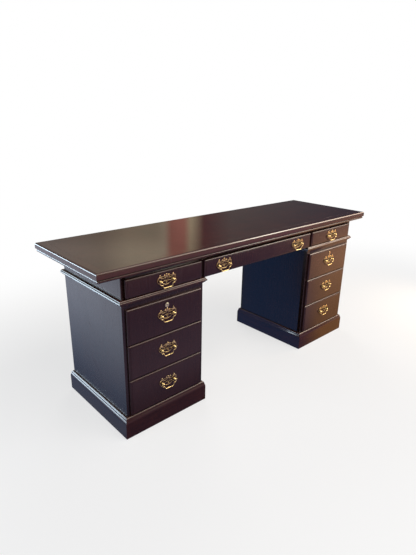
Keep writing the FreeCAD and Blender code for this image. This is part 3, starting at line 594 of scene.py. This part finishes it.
def swept(name, bm, tree, sizes):
    # runs a tree on the lines in bm, with its sizes in millimetres
    thing = meshObject(name, meshOf(bm, name))
    sweep = thing.modifiers.new("sweep", "NODES")
    sweep.node_group = tree
    for item in tree.interface.items_tree:
        if item.name in sizes:
            sweep[item.identifier] = sizes[item.name] * mm
    done = bmeshOf(baked(thing))
    bmesh.ops.remove_doubles(done, verts=done.verts, dist=1e-6)
    return done


def mouldingTree(material):
    # sweeps a section along four straight runs and draws each end out to its mitre
    def vectorOf(**parts):
        return addNode(tree, "ShaderNodeCombineXYZ", parts).outputs[0]

    tree, given = newTree("mitred moulding", "Section", ("Length", "Depth"))
    section = addNode(tree, "GeometryNodeMeshToCurve", {"Mesh": given["Section"]})
    joined = addNode(tree, "GeometryNodeJoinGeometry")
    half = {name: calc(tree, "MULTIPLY", given[name], 0.5) for name in ("Length", "Depth")}
    for turn, along, away in ((0, "Length", "Depth"), (90, "Depth", "Length"),
                              (180, "Length", "Depth"), (270, "Depth", "Length")):
        start = vectorOf(X=calc(tree, "MULTIPLY", half[along], -1.0))
        line = addNode(tree, "GeometryNodeCurvePrimitiveLine",
                       {"Start": start, "End": vectorOf(X=half[along])})
        run = addNode(tree, "GeometryNodeCurveToMesh", {
            "Curve": line.outputs[0], "Profile Curve": section.outputs[0],
            "Fill Caps": False})
        # Y points inwards here, so a point lies as far beyond the end as it lies out
        where = addNode(tree, "GeometryNodeInputPosition")
        parts = addNode(tree, "ShaderNodeSeparateXYZ", {0: where.outputs[0]})
        side = calc(tree, "SIGN", parts.outputs["X"])
        reach = calc(tree, "MULTIPLY", calc(tree, "MULTIPLY", parts.outputs["Y"], -1.0), side)
        mitred = addNode(tree, "GeometryNodeSetPosition",
                         {"Geometry": run.outputs[0], "Offset": vectorOf(X=reach)})
        outward = vectorOf(Y=calc(tree, "MULTIPLY", half[away], -1.0))
        moved = addNode(tree, "GeometryNodeTransform",
                        {"Geometry": mitred.outputs[0], "Translation": outward})
        turned = addNode(tree, "GeometryNodeTransform", {
            "Geometry": moved.outputs[0], "Rotation": (0.0, 0.0, math.radians(turn))})
        tree.links.new(turned.outputs[0], joined.inputs[0])
    endTree(tree, joined.outputs[0], material)
    return tree


def mouldingRing(name, tree, points, size, x, node, extra=None):
    section = bmesh.new()
    verts = [section.verts.new((px * mm, -py * mm, 0)) for px, py in points]
    for first, second in zip(verts, verts[1:] + verts[:1]):
        section.edges.new((first, second))
    bm = swept(name, section, tree, {"Length": size["length"], "Depth": size["depth"]})
    bmesh.ops.translate(bm, verts=bm.verts, vec=(x * mm, 0, size["height"] * mm))
    bmesh.ops.recalc_face_normals(bm, faces=bm.faces)
    if extra:
        bm.from_mesh(extra)
    mesh = finishMesh(bm, name, size["rounding"] * mm,
                      lambda ring: layRunGrain(ring, len(name)))
    fit(name, mesh, bodyOf[node], slotOf[node], node)


def cornerBlocks(node, size):
    # the blocks inside a plinth are the loose parts that lie within its boards
    bm = boardsOf(node)
    for part in list(looseParts(bm)):
        widest = max(max(v.co[axis] for v in part) - min(v.co[axis] for v in part)
                     for axis in (0, 1))
        if widest > size["length"] / 2 * mm:
            bmesh.ops.delete(bm, geom=part, context="VERTS")
    return meshOf(bm, node + "_blocks")


def makeMouldings():
    tree = mouldingTree(materials["mahogany_moulding"])
    mouldingRing("top_edge_moulding", tree, topSection(top), top, 0, "top_edge_mouldings")
    for side, x in pedestals.items():
        mouldingRing(f"{side}_waist_moulding", tree, waistSection(waist), waist, x,
                     f"{side}_waist_mouldings")
        mouldingRing(f"{side}_plinth_boards", tree, plinthSection(plinth), plinth, x,
                     f"{side}_plinth", cornerBlocks(f"{side}_plinth", plinth))
    print("mouldings swept: 5 rings")


makeMouldings()


# turned metal

def turnedMesh(points, segments=48):
    # points are (radius, y) in millimetres, turned about the Y axis
    bm = bmesh.new()
    rings = []
    for radius, y in points:
        if radius < 0.001:
            rings.append([bm.verts.new((0, y * mm, 0))])
            continue
        ring = []
        for number in range(segments):
            turn = 2 * math.pi * number / segments
            ring.append(bm.verts.new((radius * math.cos(turn) * mm, y * mm,
                                      radius * math.sin(turn) * mm)))
        rings.append(ring)
    for lower, upper in zip(rings, rings[1:]):
        for number in range(segments):
            following = (number + 1) % segments
            corners = [lower[number % len(lower)], lower[following % len(lower)],
                       upper[following % len(upper)], upper[number % len(upper)]]
            bm.faces.new(list(dict.fromkeys(corners)))
    bmesh.ops.recalc_face_normals(bm, faces=bm.faces)
    return bm


def paintRaised(bm, rule):
    layer = bm.verts.layers.float.new("raised")
    for vert in bm.verts:
        vert[layer] = rule(vert.co)


def joinMeshes(name, meshes):
    bm = bmesh.new()
    for mesh in meshes:
        bm.from_mesh(mesh)
    return meshOf(bm, name)


def asMesh(name, bm, sharp=38):
    for face in bm.faces:
        face.smooth = True
    mesh = meshOf(bm, name)
    mesh.set_sharp_from_angle(angle=math.radians(sharp))
    return mesh


def movedCopy(mesh, name, place):
    copy = mesh.copy()
    copy.name = name
    copy.transform(Matrix.Translation(Vector(place) * mm))
    return copy


def cutBy(mesh, cutter):
    thing = meshObject("cut", mesh)
    tool = meshObject("cutter", cutter)
    cut = thing.modifiers.new("cut", "BOOLEAN")
    cut.operation = "DIFFERENCE"
    cut.solver = "EXACT"
    cut.object = tool
    mesh = baked(thing)
    bpy.data.objects.remove(tool)
    return mesh


# pulls

# strokes are points (x, z, half width) on the right half of the plate, in millimetres
plateStrokes = {
    "crestMiddle": [(0, 15, 1.6), (0, 20, 2.8), (0, 26.4, 4.0)],
    "crestSide": [(1, 15.5, 1.4), (5.5, 18.4, 2.5), (9.9, 22.4, 3.6)],
    "earOuter": [(45, 12, 1.2), (41.5, 15, 2.0), (38.6, 18.6, 3.0)],
    "earMiddle": [(40, 13.5, 1.5), (34.8, 19.5, 2.8), (34.2, 25, 3.4)],
    "earInner": [(35.5, 13.5, 1.4), (31, 15.8, 2.2), (29.4, 18.2, 2.6)],
    "wing": [(43.4, 15.6, 1.3), (46.8, 12, 1.5), (47.5, 6, 1.5), (46.2, -0.5, 1.8),
             (42.4, -6, 1.7), (36.8, -8.8, 1.5), (31.4, -8.9, 1.3), (28.6, -7, 1.2)],
    "wingStem": [(36.4, 3.4, 1.3), (41.4, 6.4, 1.3), (43.3, 12, 1.3)],
    "earStem": [(29, 4.4, 1.3), (27.4, 9, 1.3), (28.4, 14, 1.3)],
    "shoulder": [(30, 14.8, 1.3), (24.6, 12, 1.4), (17, 10.6, 1.5), (9.4, 12.2, 1.4),
                 (3.4, 15.2, 1.3)],
    "bridge": [(29, 17, 1.2), (22, 19.2, 1.2), (15, 19.4, 1.3), (9, 19.6, 1.3)],
    "ringStem": [(3.6, 1.2, 1.2), (6, 5.8, 1.2), (5.4, 10.4, 1.2), (3.8, 14.4, 1.2)],
    "spoke": [(4.6, -1.2, 1.2), (12, 0.8, 1.3), (19, -1.6, 1.3), (27, -0.8, 1.3)],
    "lowerScroll": [(28.6, -7.4, 1.3), (24.4, -7.6, 1.4), (21, -10, 1.6), (15.6, -12.8, 1.8),
                    (8.6, -15.2, 1.9), (0, -16.2, 2.0)],
    "drop": [(0, -7.4, 1.2), (0, -14, 1.5)],
    "rosette": [(5, -2.5, 1.1), (3.55, 1.05, 1.1), (0, 2.5, 1.1), (-3.55, 1.05, 1.1),
                (-5, -2.5, 1.1), (-3.55, -6.05, 1.1), (0, -7.5, 1.1), (3.55, -6.05, 1.1),
                (5, -2.5, 1.1)],
}
plateBosses = [(0, 26.6, 4.3, 1.0), (10, 22.6, 3.8, 1.0), (38.4, 18.9, 3.2, 1.0),
               (34.2, 25.3, 3.5, 1.0), (29.2, 18.5, 2.8, 1.0), (44.2, 15.2, 1.8, 1.0),
               (28.6, -7.3, 1.9, 1.0), (32, 0, 5.4, 0.32), (0, -2.5, 2.3, 1.0),
               (0, -15.4, 3.0, 1.0), (15, 19.6, 1.7, 1.0), (47.3, 3, 1.6, 1.0)]
pull = {
    "voxel": 0.38, "slim": 0.76, "spread": 0.96, "bossSize": 0.84, "wall": 0.9,
    "relief": 1.5, "reliefSoftness": 1.7, "faces": 15000,
    "postSpacing": 64, "standoff": 8, "plateThickness": 1.8, "frontDepth": 23.7,
    "ball": 9.6, "stem": 5.2, "collar": 9, "collarHeight": 1.5, "shank": 4, "tail": 6,
    "threads": 10, "threadPitch": 0.7, "threadDepth": 0.22, "eyeLength": 16,
    "nut": 9, "nutThickness": 3.2, "nutPlay": 0.05, "eye": 4.5,
    "wire": 4.4, "wireWaist": 3.5, "bend": 3.4, "shoulder": 10, "step": 5, "heel": 9,
    "reach": 1.5, "play": 0.5,
}
# how bright handling keeps each part, from 0 in the deep to 1
shine = {"ground": 0.05, "crest": 1.15, "ball": 0.95, "stud": 0.55, "nut": 0.6, "bail": 0.6,
         "plug": 0.45, "case": 0.85}


def strokeMesh():
    curve = bpy.data.curves.new("strokes", "CURVE")
    curve.dimensions = "3D"
    curve.bevel_depth = mm
    curve.bevel_resolution = 3
    curve.resolution_u = 10
    curve.use_fill_caps = True
    for points in plateStrokes.values():
        for side in (1, -1):
            spline = curve.splines.new("BEZIER")
            spline.bezier_points.add(len(points) - 1)
            for point, (x, z, half) in zip(spline.bezier_points, points):
                point.co = (side * x * pull["spread"] * mm, 0, z * mm)
                point.radius = half * pull["slim"]
                point.handle_left_type = point.handle_right_type = "AUTO"
    return baked(meshObject("strokes", curve))


def plateMesh():
    # the scrollwork is joined into one casting, then pressed flat at the back
    bm = bmeshOf(strokeMesh())
    for x, z, radius, flat in plateBosses:
        for side in (1, -1):
            shape = Matrix.Translation((side * x * pull["spread"] * mm, 0, z * mm))
            shape = shape @ Matrix.Diagonal((1, flat, 1, 1))
            bmesh.ops.create_uvsphere(bm, u_segments=24, v_segments=16,
                                      radius=radius * pull["bossSize"] * mm, matrix=shape)
    thing = meshObject("casting", meshOf(bm, "casting"))
    whole = thing.modifiers.new("whole", "REMESH")
    whole.mode = "VOXEL"
    whole.voxel_size = pull["voxel"] * mm
    smooth = thing.modifiers.new("smooth", "SMOOTH")
    smooth.factor = 0.5
    smooth.iterations = 2
    bm = bmeshOf(baked(thing))
    raised = bm.verts.layers.float.new("raised")
    for vert in bm.verts:
        depth = max(-vert.co.y / mm, 0)
        share = 1 - math.exp(-depth / pull["reliefSoftness"])
        vert[raised] = shine["ground"] + shine["crest"] * share
        vert.co.y = -(pull["wall"] + pull["relief"] * share) * mm if vert.co.y < 0 else 0
    mesh = asMesh("casting", bm, 60)
    thing = meshObject("casting", mesh)
    thin = thing.modifiers.new("thin", "DECIMATE")
    thin.ratio = min(1.0, pull["faces"] / (2 * len(mesh.polygons)))
    return baked(thing)


def postMesh():
    # y is measured from the bail's axis, towards the drawer
    ball, stem, collar = pull["ball"] / 2, pull["stem"] / 2, pull["collar"] / 2
    shank, standoff = pull["shank"] / 2, pull["standoff"]
    tail = standoff + pull["plateThickness"] + pull["frontDepth"] + pull["tail"]
    neck = math.degrees(math.asin(stem / ball))
    head = [(ball * math.sin(math.radians(turn)), -ball * math.cos(math.radians(turn)))
            for turn in [step * (180 - neck) / 22 for step in range(23)]]
    seat = standoff - pull["collarHeight"]
    rest = [(stem, seat - 1.2), (stem + 0.25, seat - 0.7), (collar - 0.9, seat - 0.35),
            (collar - 0.35, seat), (collar, seat + 0.45), (collar, standoff - 0.3),
            (collar - 0.3, standoff), (shank, standoff)]
    end = [(shank, tail - 0.5), (shank - 0.5, tail), (0, tail)]
    threads = []
    first = standoff + pull["plateThickness"] + pull["frontDepth"] - 2
    for number in range(pull["threads"]):
        y = first + number * pull["threadPitch"]
        threads += [(shank, y), (shank - pull["threadDepth"], y + pull["threadPitch"] / 2)]
    bm = turnedMesh(head + rest + threads + end, 40)
    paintRaised(bm, lambda co: shine["ball"] if co.y < 0.006 else shine["stud"])
    mesh = asMesh("post", bm, 42)
    wide, half = pull["eye"] / 2, pull["eyeLength"] / 2
    eye = turnedMesh([(0, -half), (wide, -half), (wide, half), (0, half)], 32)
    bmesh.ops.rotate(eye, verts=eye.verts, cent=(0, 0, 0),
                     matrix=Matrix.Rotation(math.radians(90), 3, "Z"))
    return cutBy(mesh, asMesh("eye", eye))


def nutMesh():
    # hexagon with chamfered corners, bored for the stud
    wide = pull["nut"] / math.sqrt(3)
    bore = pull["shank"] / 2 + pull["nutPlay"]
    thick = pull["nutThickness"]
    bm = turnedMesh([(bore, 0), (wide - 0.3, 0), (wide, 0.35), (wide, thick - 0.5),
                     (wide - 0.6, thick), (bore, thick), (bore, 0)], 6)
    softenEdges(bm, 0.15 * mm)
    paintRaised(bm, lambda co: shine["nut"])
    return asMesh("nut", bm)


def bailPath():
    half = pull["postSpacing"] / 2
    leg = half + pull["ball"] / 2 + pull["play"] + pull["wire"] / 2
    bend, shoulder, step, heel = (pull[key] for key in ("bend", "shoulder", "step", "heel"))
    low = -(bend + shoulder + step)
    points = [(half - pull["reach"], 0), (half + 1, 0)]
    points += arcPoints((leg - bend, -bend), bend, 90, 0, 8)
    points += arcPoints((leg - shoulder, -bend), shoulder, 0, -90, 12)[1:]
    points += arcPoints((leg - shoulder, low), step, 90, 180, 9)[1:]
    points += arcPoints((leg - shoulder - step - heel, low), heel, 0, -90, 12)[1:]
    middle = points[-1][1]
    across = [(points[-1][0] * share, middle) for share in (0.75, 0.5, 0.25)]
    right = points + across
    return right + [(0, middle)] + [(-x, z) for x, z in reversed(right)]


def bailTree(material):
    # a wire along the path, thin at its necks and full at the ends and the middle
    tree, given = newTree("swelling wire", "Path", ("Wire", "Waist"))
    path = addNode(tree, "GeometryNodeMeshToCurve", {"Mesh": given["Path"]})
    share = addNode(tree, "GeometryNodeSplineParameter").outputs["Factor"]
    wave = calc(tree, "COSINE", calc(tree, "MULTIPLY", share, 4 * math.pi))
    full = calc(tree, "MULTIPLY_ADD", wave, 0.5, 0.5)
    gap = calc(tree, "SUBTRACT", given["Wire"], given["Waist"])
    width = calc(tree, "ADD", given["Waist"], calc(tree, "MULTIPLY", gap, full))
    section = addNode(tree, "GeometryNodeCurvePrimitiveCircle",
                      {"Resolution": 20, "Radius": 1.0})
    radius = calc(tree, "MULTIPLY", width, 0.5)
    wire = addNode(tree, "GeometryNodeCurveToMesh", {
        "Curve": path.outputs[0], "Profile Curve": section.outputs["Curve"],
        "Scale": radius, "Fill Caps": True})
    smooth = addNode(tree, "GeometryNodeSetShadeSmooth", {"Geometry": wire.outputs[0]})
    endTree(tree, smooth.outputs[0], material)
    return tree


def bailMesh():
    bm = bmesh.new()
    verts = [bm.verts.new((x * mm, 0, z * mm)) for x, z in bailPath()]
    for first, second in zip(verts, verts[1:]):
        bm.edges.new((first, second))
    bm = swept("bail", bm, bailTree(materials["antique_brass"]),
               {"Wire": pull["wire"], "Waist": pull["wireWaist"]})
    bmesh.ops.recalc_face_normals(bm, faces=bm.faces)
    paintRaised(bm, lambda co: shine["bail"])
    return asMesh("bail", bm, 60)


def pullPlaces():
    # the axis of every bail, in millimetres, from its joint
    places = {}
    for joint in frame["joints"]:
        if joint["name"].endswith("_swing"):
            places[joint["child"]] = (joint["parent"], Vector(joint["pos_m"]) / mm)
    return places


def makePulls():
    half = pull["postSpacing"] / 2
    plate = plateMesh()
    post = postMesh()
    nut = nutMesh()
    seat = pull["standoff"] + pull["plateThickness"] + pull["frontDepth"]
    pieces = [movedCopy(plate, "plate", (0, pull["standoff"] + pull["plateThickness"], 0))]
    for side in (-1, 1):
        pieces.append(movedCopy(post, "post", (side * half, 0, 0)))
        pieces.append(movedCopy(nut, "nut", (side * half, seat, 0)))
    pattern = joinMeshes("pull_plate", pieces)
    bail = bailMesh()
    drawers = {}
    for body, (drawer, place) in pullPlaces().items():
        fit(body + "_brass", movedCopy(bail, body, place), body, slotOf[body], body)
        drawers.setdefault(drawer, []).append(movedCopy(pattern, drawer, place))
    for drawer, copies in drawers.items():
        node = drawer + ("_pull_plates" if len(copies) > 1 else "_pull_plate")
        fit(node + "_brass", joinMeshes(node, copies), drawer, slotOf[node], node)
    print("pulls cast:", len(pullPlaces()), "from", len(pattern.polygons), "faces each")


makePulls()


# locks and glides

fittings = {"lockEdge": 0.35, "glideEdge": 0.3, "sharp": 35}


def dressMetal(node, edgeWidth):
    bm = boardsOf(node)
    softenEdges(bm, edgeWidth * mm, math.radians(fittings["sharp"]))
    paintRaised(bm, lambda co: shine["plug" if node.endswith("plug") else "case"])
    fit(node + "_metal", asMesh(node, bm, fittings["sharp"]), bodyOf[node], slotOf[node], node)


def makeLocks():
    for node in sorted(nodes):
        if node.endswith("_lock_case") or node.endswith("_lock_plug"):
            dressMetal(node, fittings["lockEdge"])
    dressMetal("floor_glides", fittings["glideEdge"])
    print("locks and glides finished")


makeLocks()


# floor, light and reflections

studio = {
    "floorColour": (0.9, 0.9, 0.9), "floorBounce": (0.3, 0.3, 0.31), "floorSize": 40,
    "floorLift": 0.65, "fadeStart": 0.8, "fadeEnd": 2.2, "fadeShape": (0.62, 1.0, 1.0),
    "floorRoughness": 0.9, "floorSheen": 0.1,
    "ambient": 0.16,
    "lamps": {
        "cool_side": {"place": (-3.2, 0.3, 1.7), "aim": (-0.8, 0, 0.6), "size": (1.4, 1.4),
                      "power": 22, "colour": (0.74, 0.86, 1.0)},
        "warm_right": {"place": (1.95, -0.85, 0.5), "aim": (0.6, -0.25, 0.35),
                       "size": (0.6, 0.6), "power": 11, "colour": (1.0, 0.78, 0.56)},
        "overhead": {"place": (0.3, -2.0, 2.9), "aim": (0, 0, 0.4), "size": (3.2, 2.2),
                     "power": 72, "colour": (1.0, 0.96, 0.93)},
        "back_fill": {"place": (1.8, 2.9, 1.6), "aim": (0.2, 0.2, 0.4), "size": (2.0, 1.6),
                      "power": 45, "colour": (1.0, 0.96, 0.92)},
    },
}

# cards that only the gloss of the desk sees, as a dark room behind it would show
backCard = {
    "distance": 4.7, "width": 18, "height": 4.0,
    "dimBelow": (1.42, 1.72), "dim": 0.5, "dimUpTo": (-0.6, -0.3),
    # a grey wall, an olive one, a red door frame, a pale strip and a dark room beyond,
    # each with where it lies across the view, in metres
    "bands": [
        (-1.8, (0.55, 0.5, 0.45)), (-1.2, (0.55, 0.5, 0.4)), (-0.9, (0.85, 0.75, 0.55)),
        (-0.5, (0.85, 0.75, 0.55)), (-0.42, (0.6, 0.25, 0.2)), (-0.27, (0.6, 0.25, 0.2)),
        (-0.2, (0.7, 0.6, 0.4)), (-0.06, (0.12, 0.06, 0.07)), (0.25, (0.15, 0.15, 0.15)),
        (1.5, (0.05, 0.07, 0.1))],
}
# the floor that the left sides mirror is lit by a window, more so further away
floorCard = {
    "half": 5.0, "height": 0.002,
    "right": [(-2.1, (1.0, 0.6, 0.5)), (-1.2, (2.5, 1.3, 0.7)), (-0.3, (1.0, 0.5, 0.2))],
    "front": [(-2.1, (1.2, 0.7, 0.8)), (-1.9, (0.1, 0.1, 0.3)), (-0.6, (0.5, 0.4, 0.6)),
              (-0.35, (0.1, 0.1, 0.2))],
    "window": [(-1.9, (1.1, 1.1, 1.3)), (-1.5, (1.6, 1.8, 2.2)), (-0.9, (0.2, 0.3, 0.5)),
               (-0.6, (0.3, 0.3, 0.3))],
    "slant": 1.4, "slantRange": (0.0, 0.3), "frontLine": (-0.27, -0.2),
    "seenBy": ("front", "frame", "end_panels", "left_pedestal_sides", "moulding", "plinth",
               "pull", "bail", "lock"),
    # what the other pieces mirror
    "plain": (0.3, 0.27, 0.26),
    "plainSeenBy": ("back_panel", "right_pedestal_sides", "box", "runners", "floors"),
}
windowCard = {"x": -1.3, "sides": (0.25, 1.3), "heights": (0.0, 1.15),
              "colour": (0.68, 0.86, 1.0), "glow": 11.5,
              "seenBy": ("waist", "plinth", "pull", "bail", "lock")}
# the part of it that the top's rounded edge mirrors, and its flat border doesn't
sillCard = {**windowCard, "heights": (0.67, 0.87), "glow": 19.0, "seenBy": ("top_edge",)}
# the window's glare on the floor, which the left plinth's moulding catches
glareCard = {"ends": (-3.0, -0.93), "full": -1.12, "sides": (-0.25, 2.0), "height": 0.004,
             "colour": (0.7, 0.86, 1.0), "glow": 7.0, "seenBy": ("left_plinth",)}
# a warm glowing card above the front of the desk, seen only in gloss: painted highlights along
# the rounded edges and the drawers' lips, glowing most about two metres to the right
ceilingHighlightCard = {"corners": [(0.0, -2.6, 2.3), (3.6, -2.4, 1.3), (3.6, -0.5, 2.0),
                           (0.0, -0.6, 3.1)],
               "along": [(0.0, (4, 3.5, 3)), (1.5, (8, 7, 6)), (2.0, (22, 21, 18)),
                         (2.8, (12, 10, 8)), (3.6, (12, 9, 7))]}
# a dark blue glowing sheet on the floor of the kneehole and, slanting, across its back, seen
# only in the gloss of the kneehole's pieces: painted shade, a dark blue reflection where the
# kneehole lies in shade
kneeShadeCard = {"floor": [(-0.385, -0.27), (0.385, -0.27), (0.385, 0.24), (-0.385, 0.24),
                      (-0.385, 0.24), (0.385, 0.24), (0.26, 0.36), (-0.385, 0.3)],
            "back": [(-0.385, 0.3), (0.26, 0.36)], "lift": 0.003, "height": 0.64,
            "colour": (0.14, 0.3, 0.73),
            "seenBy": ("right_pedestal_sides", "right_plinth", "right_waist")}
# the unlit room in front of the desk, with a paler doorway in it
roomCard = {"y": -3.6, "half": 5.0, "height": 3.2, "colour": (0.16, 0.13, 0.14),
            "door": (0.9, 0.85, 0.72), "doorSides": (0.9, 1.9), "doorSoft": (0.2, 0.1)}


def sheet(low, high):
    # the corners of a level or an upright sheet, from two that face each other
    (x, y, z), (farX, farY, top) = low, high
    if z == top:
        return [(x, y, z), (farX, y, z), (farX, farY, z), (x, farY, z)]
    return [(x, y, z), (farX, farY, z), (farX, farY, top), (x, y, top)]


def seenRays(tree):
    # 1 for what the camera, a gloss or a clear piece sees, 0 for light that bounces
    path = addNode(tree, "ShaderNodeLightPath")
    seen = calc(tree, "ADD", path.outputs["Is Camera Ray"], path.outputs["Is Glossy Ray"])
    return calc(tree, "ADD", seen, path.outputs["Is Transmission Ray"], clamp=True)


def makeWorld(settings):
    world = bpy.data.worlds.new("studio")
    world.use_nodes = True
    bpy.context.scene.world = world
    tree = world.node_tree
    tree.nodes.clear()
    extra = calc(tree, "MULTIPLY", seenRays(tree), 1.0 - settings["ambient"])
    strength = calc(tree, "ADD", extra, settings["ambient"])
    sky = addNode(tree, "ShaderNodeBackground", {"Color": (1, 1, 1, 1), "Strength": strength})
    addNode(tree, "ShaderNodeOutputWorld", {"Surface": sky.outputs[0]})


def makeFloor(settings):
    half = settings["floorSize"] / 2
    mesh = bpy.data.meshes.new("floor")
    mesh.from_pydata(sheet((-half, -half, 0), (half, half, 0)), [], [(0, 1, 2, 3)])
    material, tree, shader = newMaterial("floor")
    seen = seenRays(tree)
    colour = blendColours(tree, seen, rgb(settings["floorBounce"]),
                          rgb(settings["floorColour"]))
    plug(tree, colour, shader.inputs["Base Color"])
    shader.inputs["Roughness"].default_value = settings["floorRoughness"]
    shader.inputs["Specular IOR Level"].default_value = settings["floorSheen"]
    # away from the desk the floor runs into the white background
    away = addNode(tree, "ShaderNodeVectorMath",
                   {0: scaled(tree, objectPlace(tree), settings["fadeShape"])},
                   operation="LENGTH")
    fade = spread(tree, away.outputs["Value"], settings["fadeStart"], settings["fadeEnd"],
                  settings["floorLift"], 1.0)
    white = addNode(tree, "ShaderNodeEmission", {"Color": (1, 1, 1, 1), "Strength": 1.0})
    mixed = addNode(tree, "ShaderNodeMixShader", {
        0: calc(tree, "MULTIPLY", fade, seen), 1: shader.outputs[0], 2: white.outputs[0]})
    output = next(node for node in tree.nodes if node.type == "OUTPUT_MATERIAL")
    tree.links.new(mixed.outputs[0], output.inputs["Surface"])
    mesh.materials.append(material)
    meshObject("floor", mesh)


def makeLamp(name, settings):
    data = bpy.data.lights.new(name, "AREA")
    data.shape = "RECTANGLE"
    data.size, data.size_y = settings["size"]
    data.energy = settings["power"]
    data.color = settings["colour"]
    lamp = bpy.data.objects.new(name, data)
    bpy.context.scene.collection.objects.link(lamp)
    place = Vector(settings["place"])
    lamp.location = place
    lamp.visible_glossy = False
    lamp.rotation_euler = (Vector(settings["aim"]) - place).to_track_quat("-Z", "Y").to_euler()


def acrossView():
    turn = math.radians(camera["turn"])
    ahead = Vector((-math.sin(turn), math.cos(turn), 0))
    return ahead, Vector((ahead.y, -ahead.x, 0))


def makeCard(name, corners, paint, seenBy=(), clear=False):
    # to pieces that it isn't made for, a card is black, or clear
    mesh = bpy.data.meshes.new(name)
    faces = [range(first, first + 4) for first in range(0, len(corners), 4)]
    mesh.from_pydata([tuple(corner) for corner in corners], [], faces)
    material, tree = emptyMaterial(name)
    colour, strength = paint(tree, objectPlace(tree))
    surface = addNode(tree, "ShaderNodeEmission", {"Color": colour, "Strength": strength})
    if clear:
        glass = addNode(tree, "ShaderNodeBsdfTransparent")
        surface = addNode(tree, "ShaderNodeAddShader",
                          {0: surface.outputs[0], 1: glass.outputs[0]})
    addNode(tree, "ShaderNodeOutputMaterial", {"Surface": surface.outputs[0]})
    mesh.materials.append(material)
    card = meshObject(name, mesh)
    if seenBy:
        pieces = bpy.data.collections.new(name + "_pieces")
        for thing in bpy.context.scene.objects:
            if thing.type == "MESH" and any(word in thing.name for word in seenBy):
                pieces.objects.link(thing)
        card.light_linking.receiver_collection = pieces
    card.visible_camera = False
    card.visible_diffuse = False
    card.visible_shadow = False
    card.visible_transmission = False


def rampOf(tree, value, stops):
    first, last = stops[0][0], stops[-1][0]
    share = calc(tree, "DIVIDE", calc(tree, "SUBTRACT", value, first), last - first)
    node = addNode(tree, "ShaderNodeValToRGB", {"Fac": share})
    elements = node.color_ramp.elements
    while len(elements) < len(stops):
        elements.new(1.0)
    for element, (where, colour) in zip(elements, stops):
        element.position = (where - first) / (last - first)
        element.color = rgb(colour)
    return node.outputs["Color"]


def makeBackCard(look):
    ahead, aside = acrossView()
    start = Vector((camera["place"][0], camera["place"][1], 0))
    middle = start + ahead * look["distance"]
    half = aside * (look["width"] / 2)
    rise = Vector((0, 0, look["height"]))

    def paint(tree, place):
        across = addNode(tree, "ShaderNodeVectorMath", {0: place, 1: tuple(aside)},
                         operation="DOT_PRODUCT").outputs["Value"]
        across = calc(tree, "SUBTRACT", across, middle.dot(aside))
        bands = rampOf(tree, across, look["bands"])
        low = spread(tree, partOf(tree, place, "Z"), *look["dimBelow"], 1.0, 0.0)
        left = spread(tree, across, *look["dimUpTo"], 1.0, 0.0)
        dim = calc(tree, "MULTIPLY", calc(tree, "MULTIPLY", low, left), look["dim"])
        return bands, calc(tree, "SUBTRACT", 1.0, dim)

    makeCard("back_card", [middle - half, middle + half, middle + half + rise,
                           middle - half + rise], paint)


def makeFloorCard(look):
    half, high = look["half"], look["height"]

    def paint(tree, place):
        x, y = partOf(tree, place, "X"), partOf(tree, place, "Y")
        slanted = calc(tree, "ADD", x, calc(tree, "MULTIPLY", y, look["slant"]))
        front = blendColours(tree, spread(tree, slanted, *look["slantRange"]),
                             rampOf(tree, y, look["front"]), rampOf(tree, y, look["right"]))
        behind = spread(tree, y, *look["frontLine"])
        return blendColours(tree, behind, front, rampOf(tree, x, look["window"])), 1.0

    def corners(z):
        return sheet((-half, -half, z), (half, half, z))

    makeCard("floor_card", corners(high), paint, look["seenBy"], True)
    makeCard("plain_floor_card", corners(high / 2),
             lambda tree, place: (rgb(look["plain"]), 1.0), look["plainSeenBy"])


def makeRoomCard(look):
    half, y, high = look["half"], look["y"], look["height"]

    def paint(tree, place):
        x = partOf(tree, place, "X")
        left, right = look["doorSides"]
        outer, inner = look["doorSoft"]
        opening = calc(tree, "MULTIPLY", spread(tree, x, left - outer, left + inner),
                       spread(tree, x, right - inner, right + outer, 1.0, 0.0))
        return blendColours(tree, opening, rgb(look["colour"]), rgb(look["door"])), 1.0

    makeCard("room_card", sheet((-half, y, 0), (half, y, high)), paint)


def makeKneeShadeCard(look):
    # painted shade: the kneehole's pieces mirror this dark blue sheet in place of their shade
    floor = [(x, y, look["lift"]) for x, y in look["floor"]]
    start, end = look["back"]
    back = sheet((*start, 0), (*end, look["height"]))
    makeCard("knee_card", floor + back, lambda tree, place: (rgb(look["colour"]), 1.0),
             look["seenBy"])


def makeWindowCard(name, look):
    x = look["x"]
    front, back = look["sides"]
    low, high = look["heights"]
    makeCard(name, sheet((x, front, low), (x, back, high)),
             lambda tree, place: (rgb(look["colour"]), look["glow"]), look["seenBy"], True)


def makeGlareCard(look):
    far, near = look["ends"]
    front, back = look["sides"]
    high = look["height"]

    def paint(tree, place):
        x = partOf(tree, place, "X")
        return rgb(look["colour"]), spread(tree, x, look["full"], near, look["glow"], 0.0)

    makeCard("glare_card", sheet((far, front, high), (near, back, high)), paint,
             look["seenBy"], True)


def makeCeilingHighlightCard(look):
    # painted highlights: the glow along the card that the rounded edges mirror
    def paint(tree, place):
        return rampOf(tree, partOf(tree, place, "X"), look["along"]), 1.0

    makeCard("ceiling_card", look["corners"], paint)


makeWorld(studio)
makeFloor(studio)
for lampName, lampSettings in studio["lamps"].items():
    makeLamp(lampName, lampSettings)
makeBackCard(backCard)
makeFloorCard(floorCard)
makeWindowCard("window_card", windowCard)
makeWindowCard("sill_card", sillCard)
makeGlareCard(glareCard)
makeCeilingHighlightCard(ceilingHighlightCard)
makeRoomCard(roomCard)
makeKneeShadeCard(kneeShadeCard)
bpy.context.scene.view_settings.view_transform = "Standard"
print("studio lit")
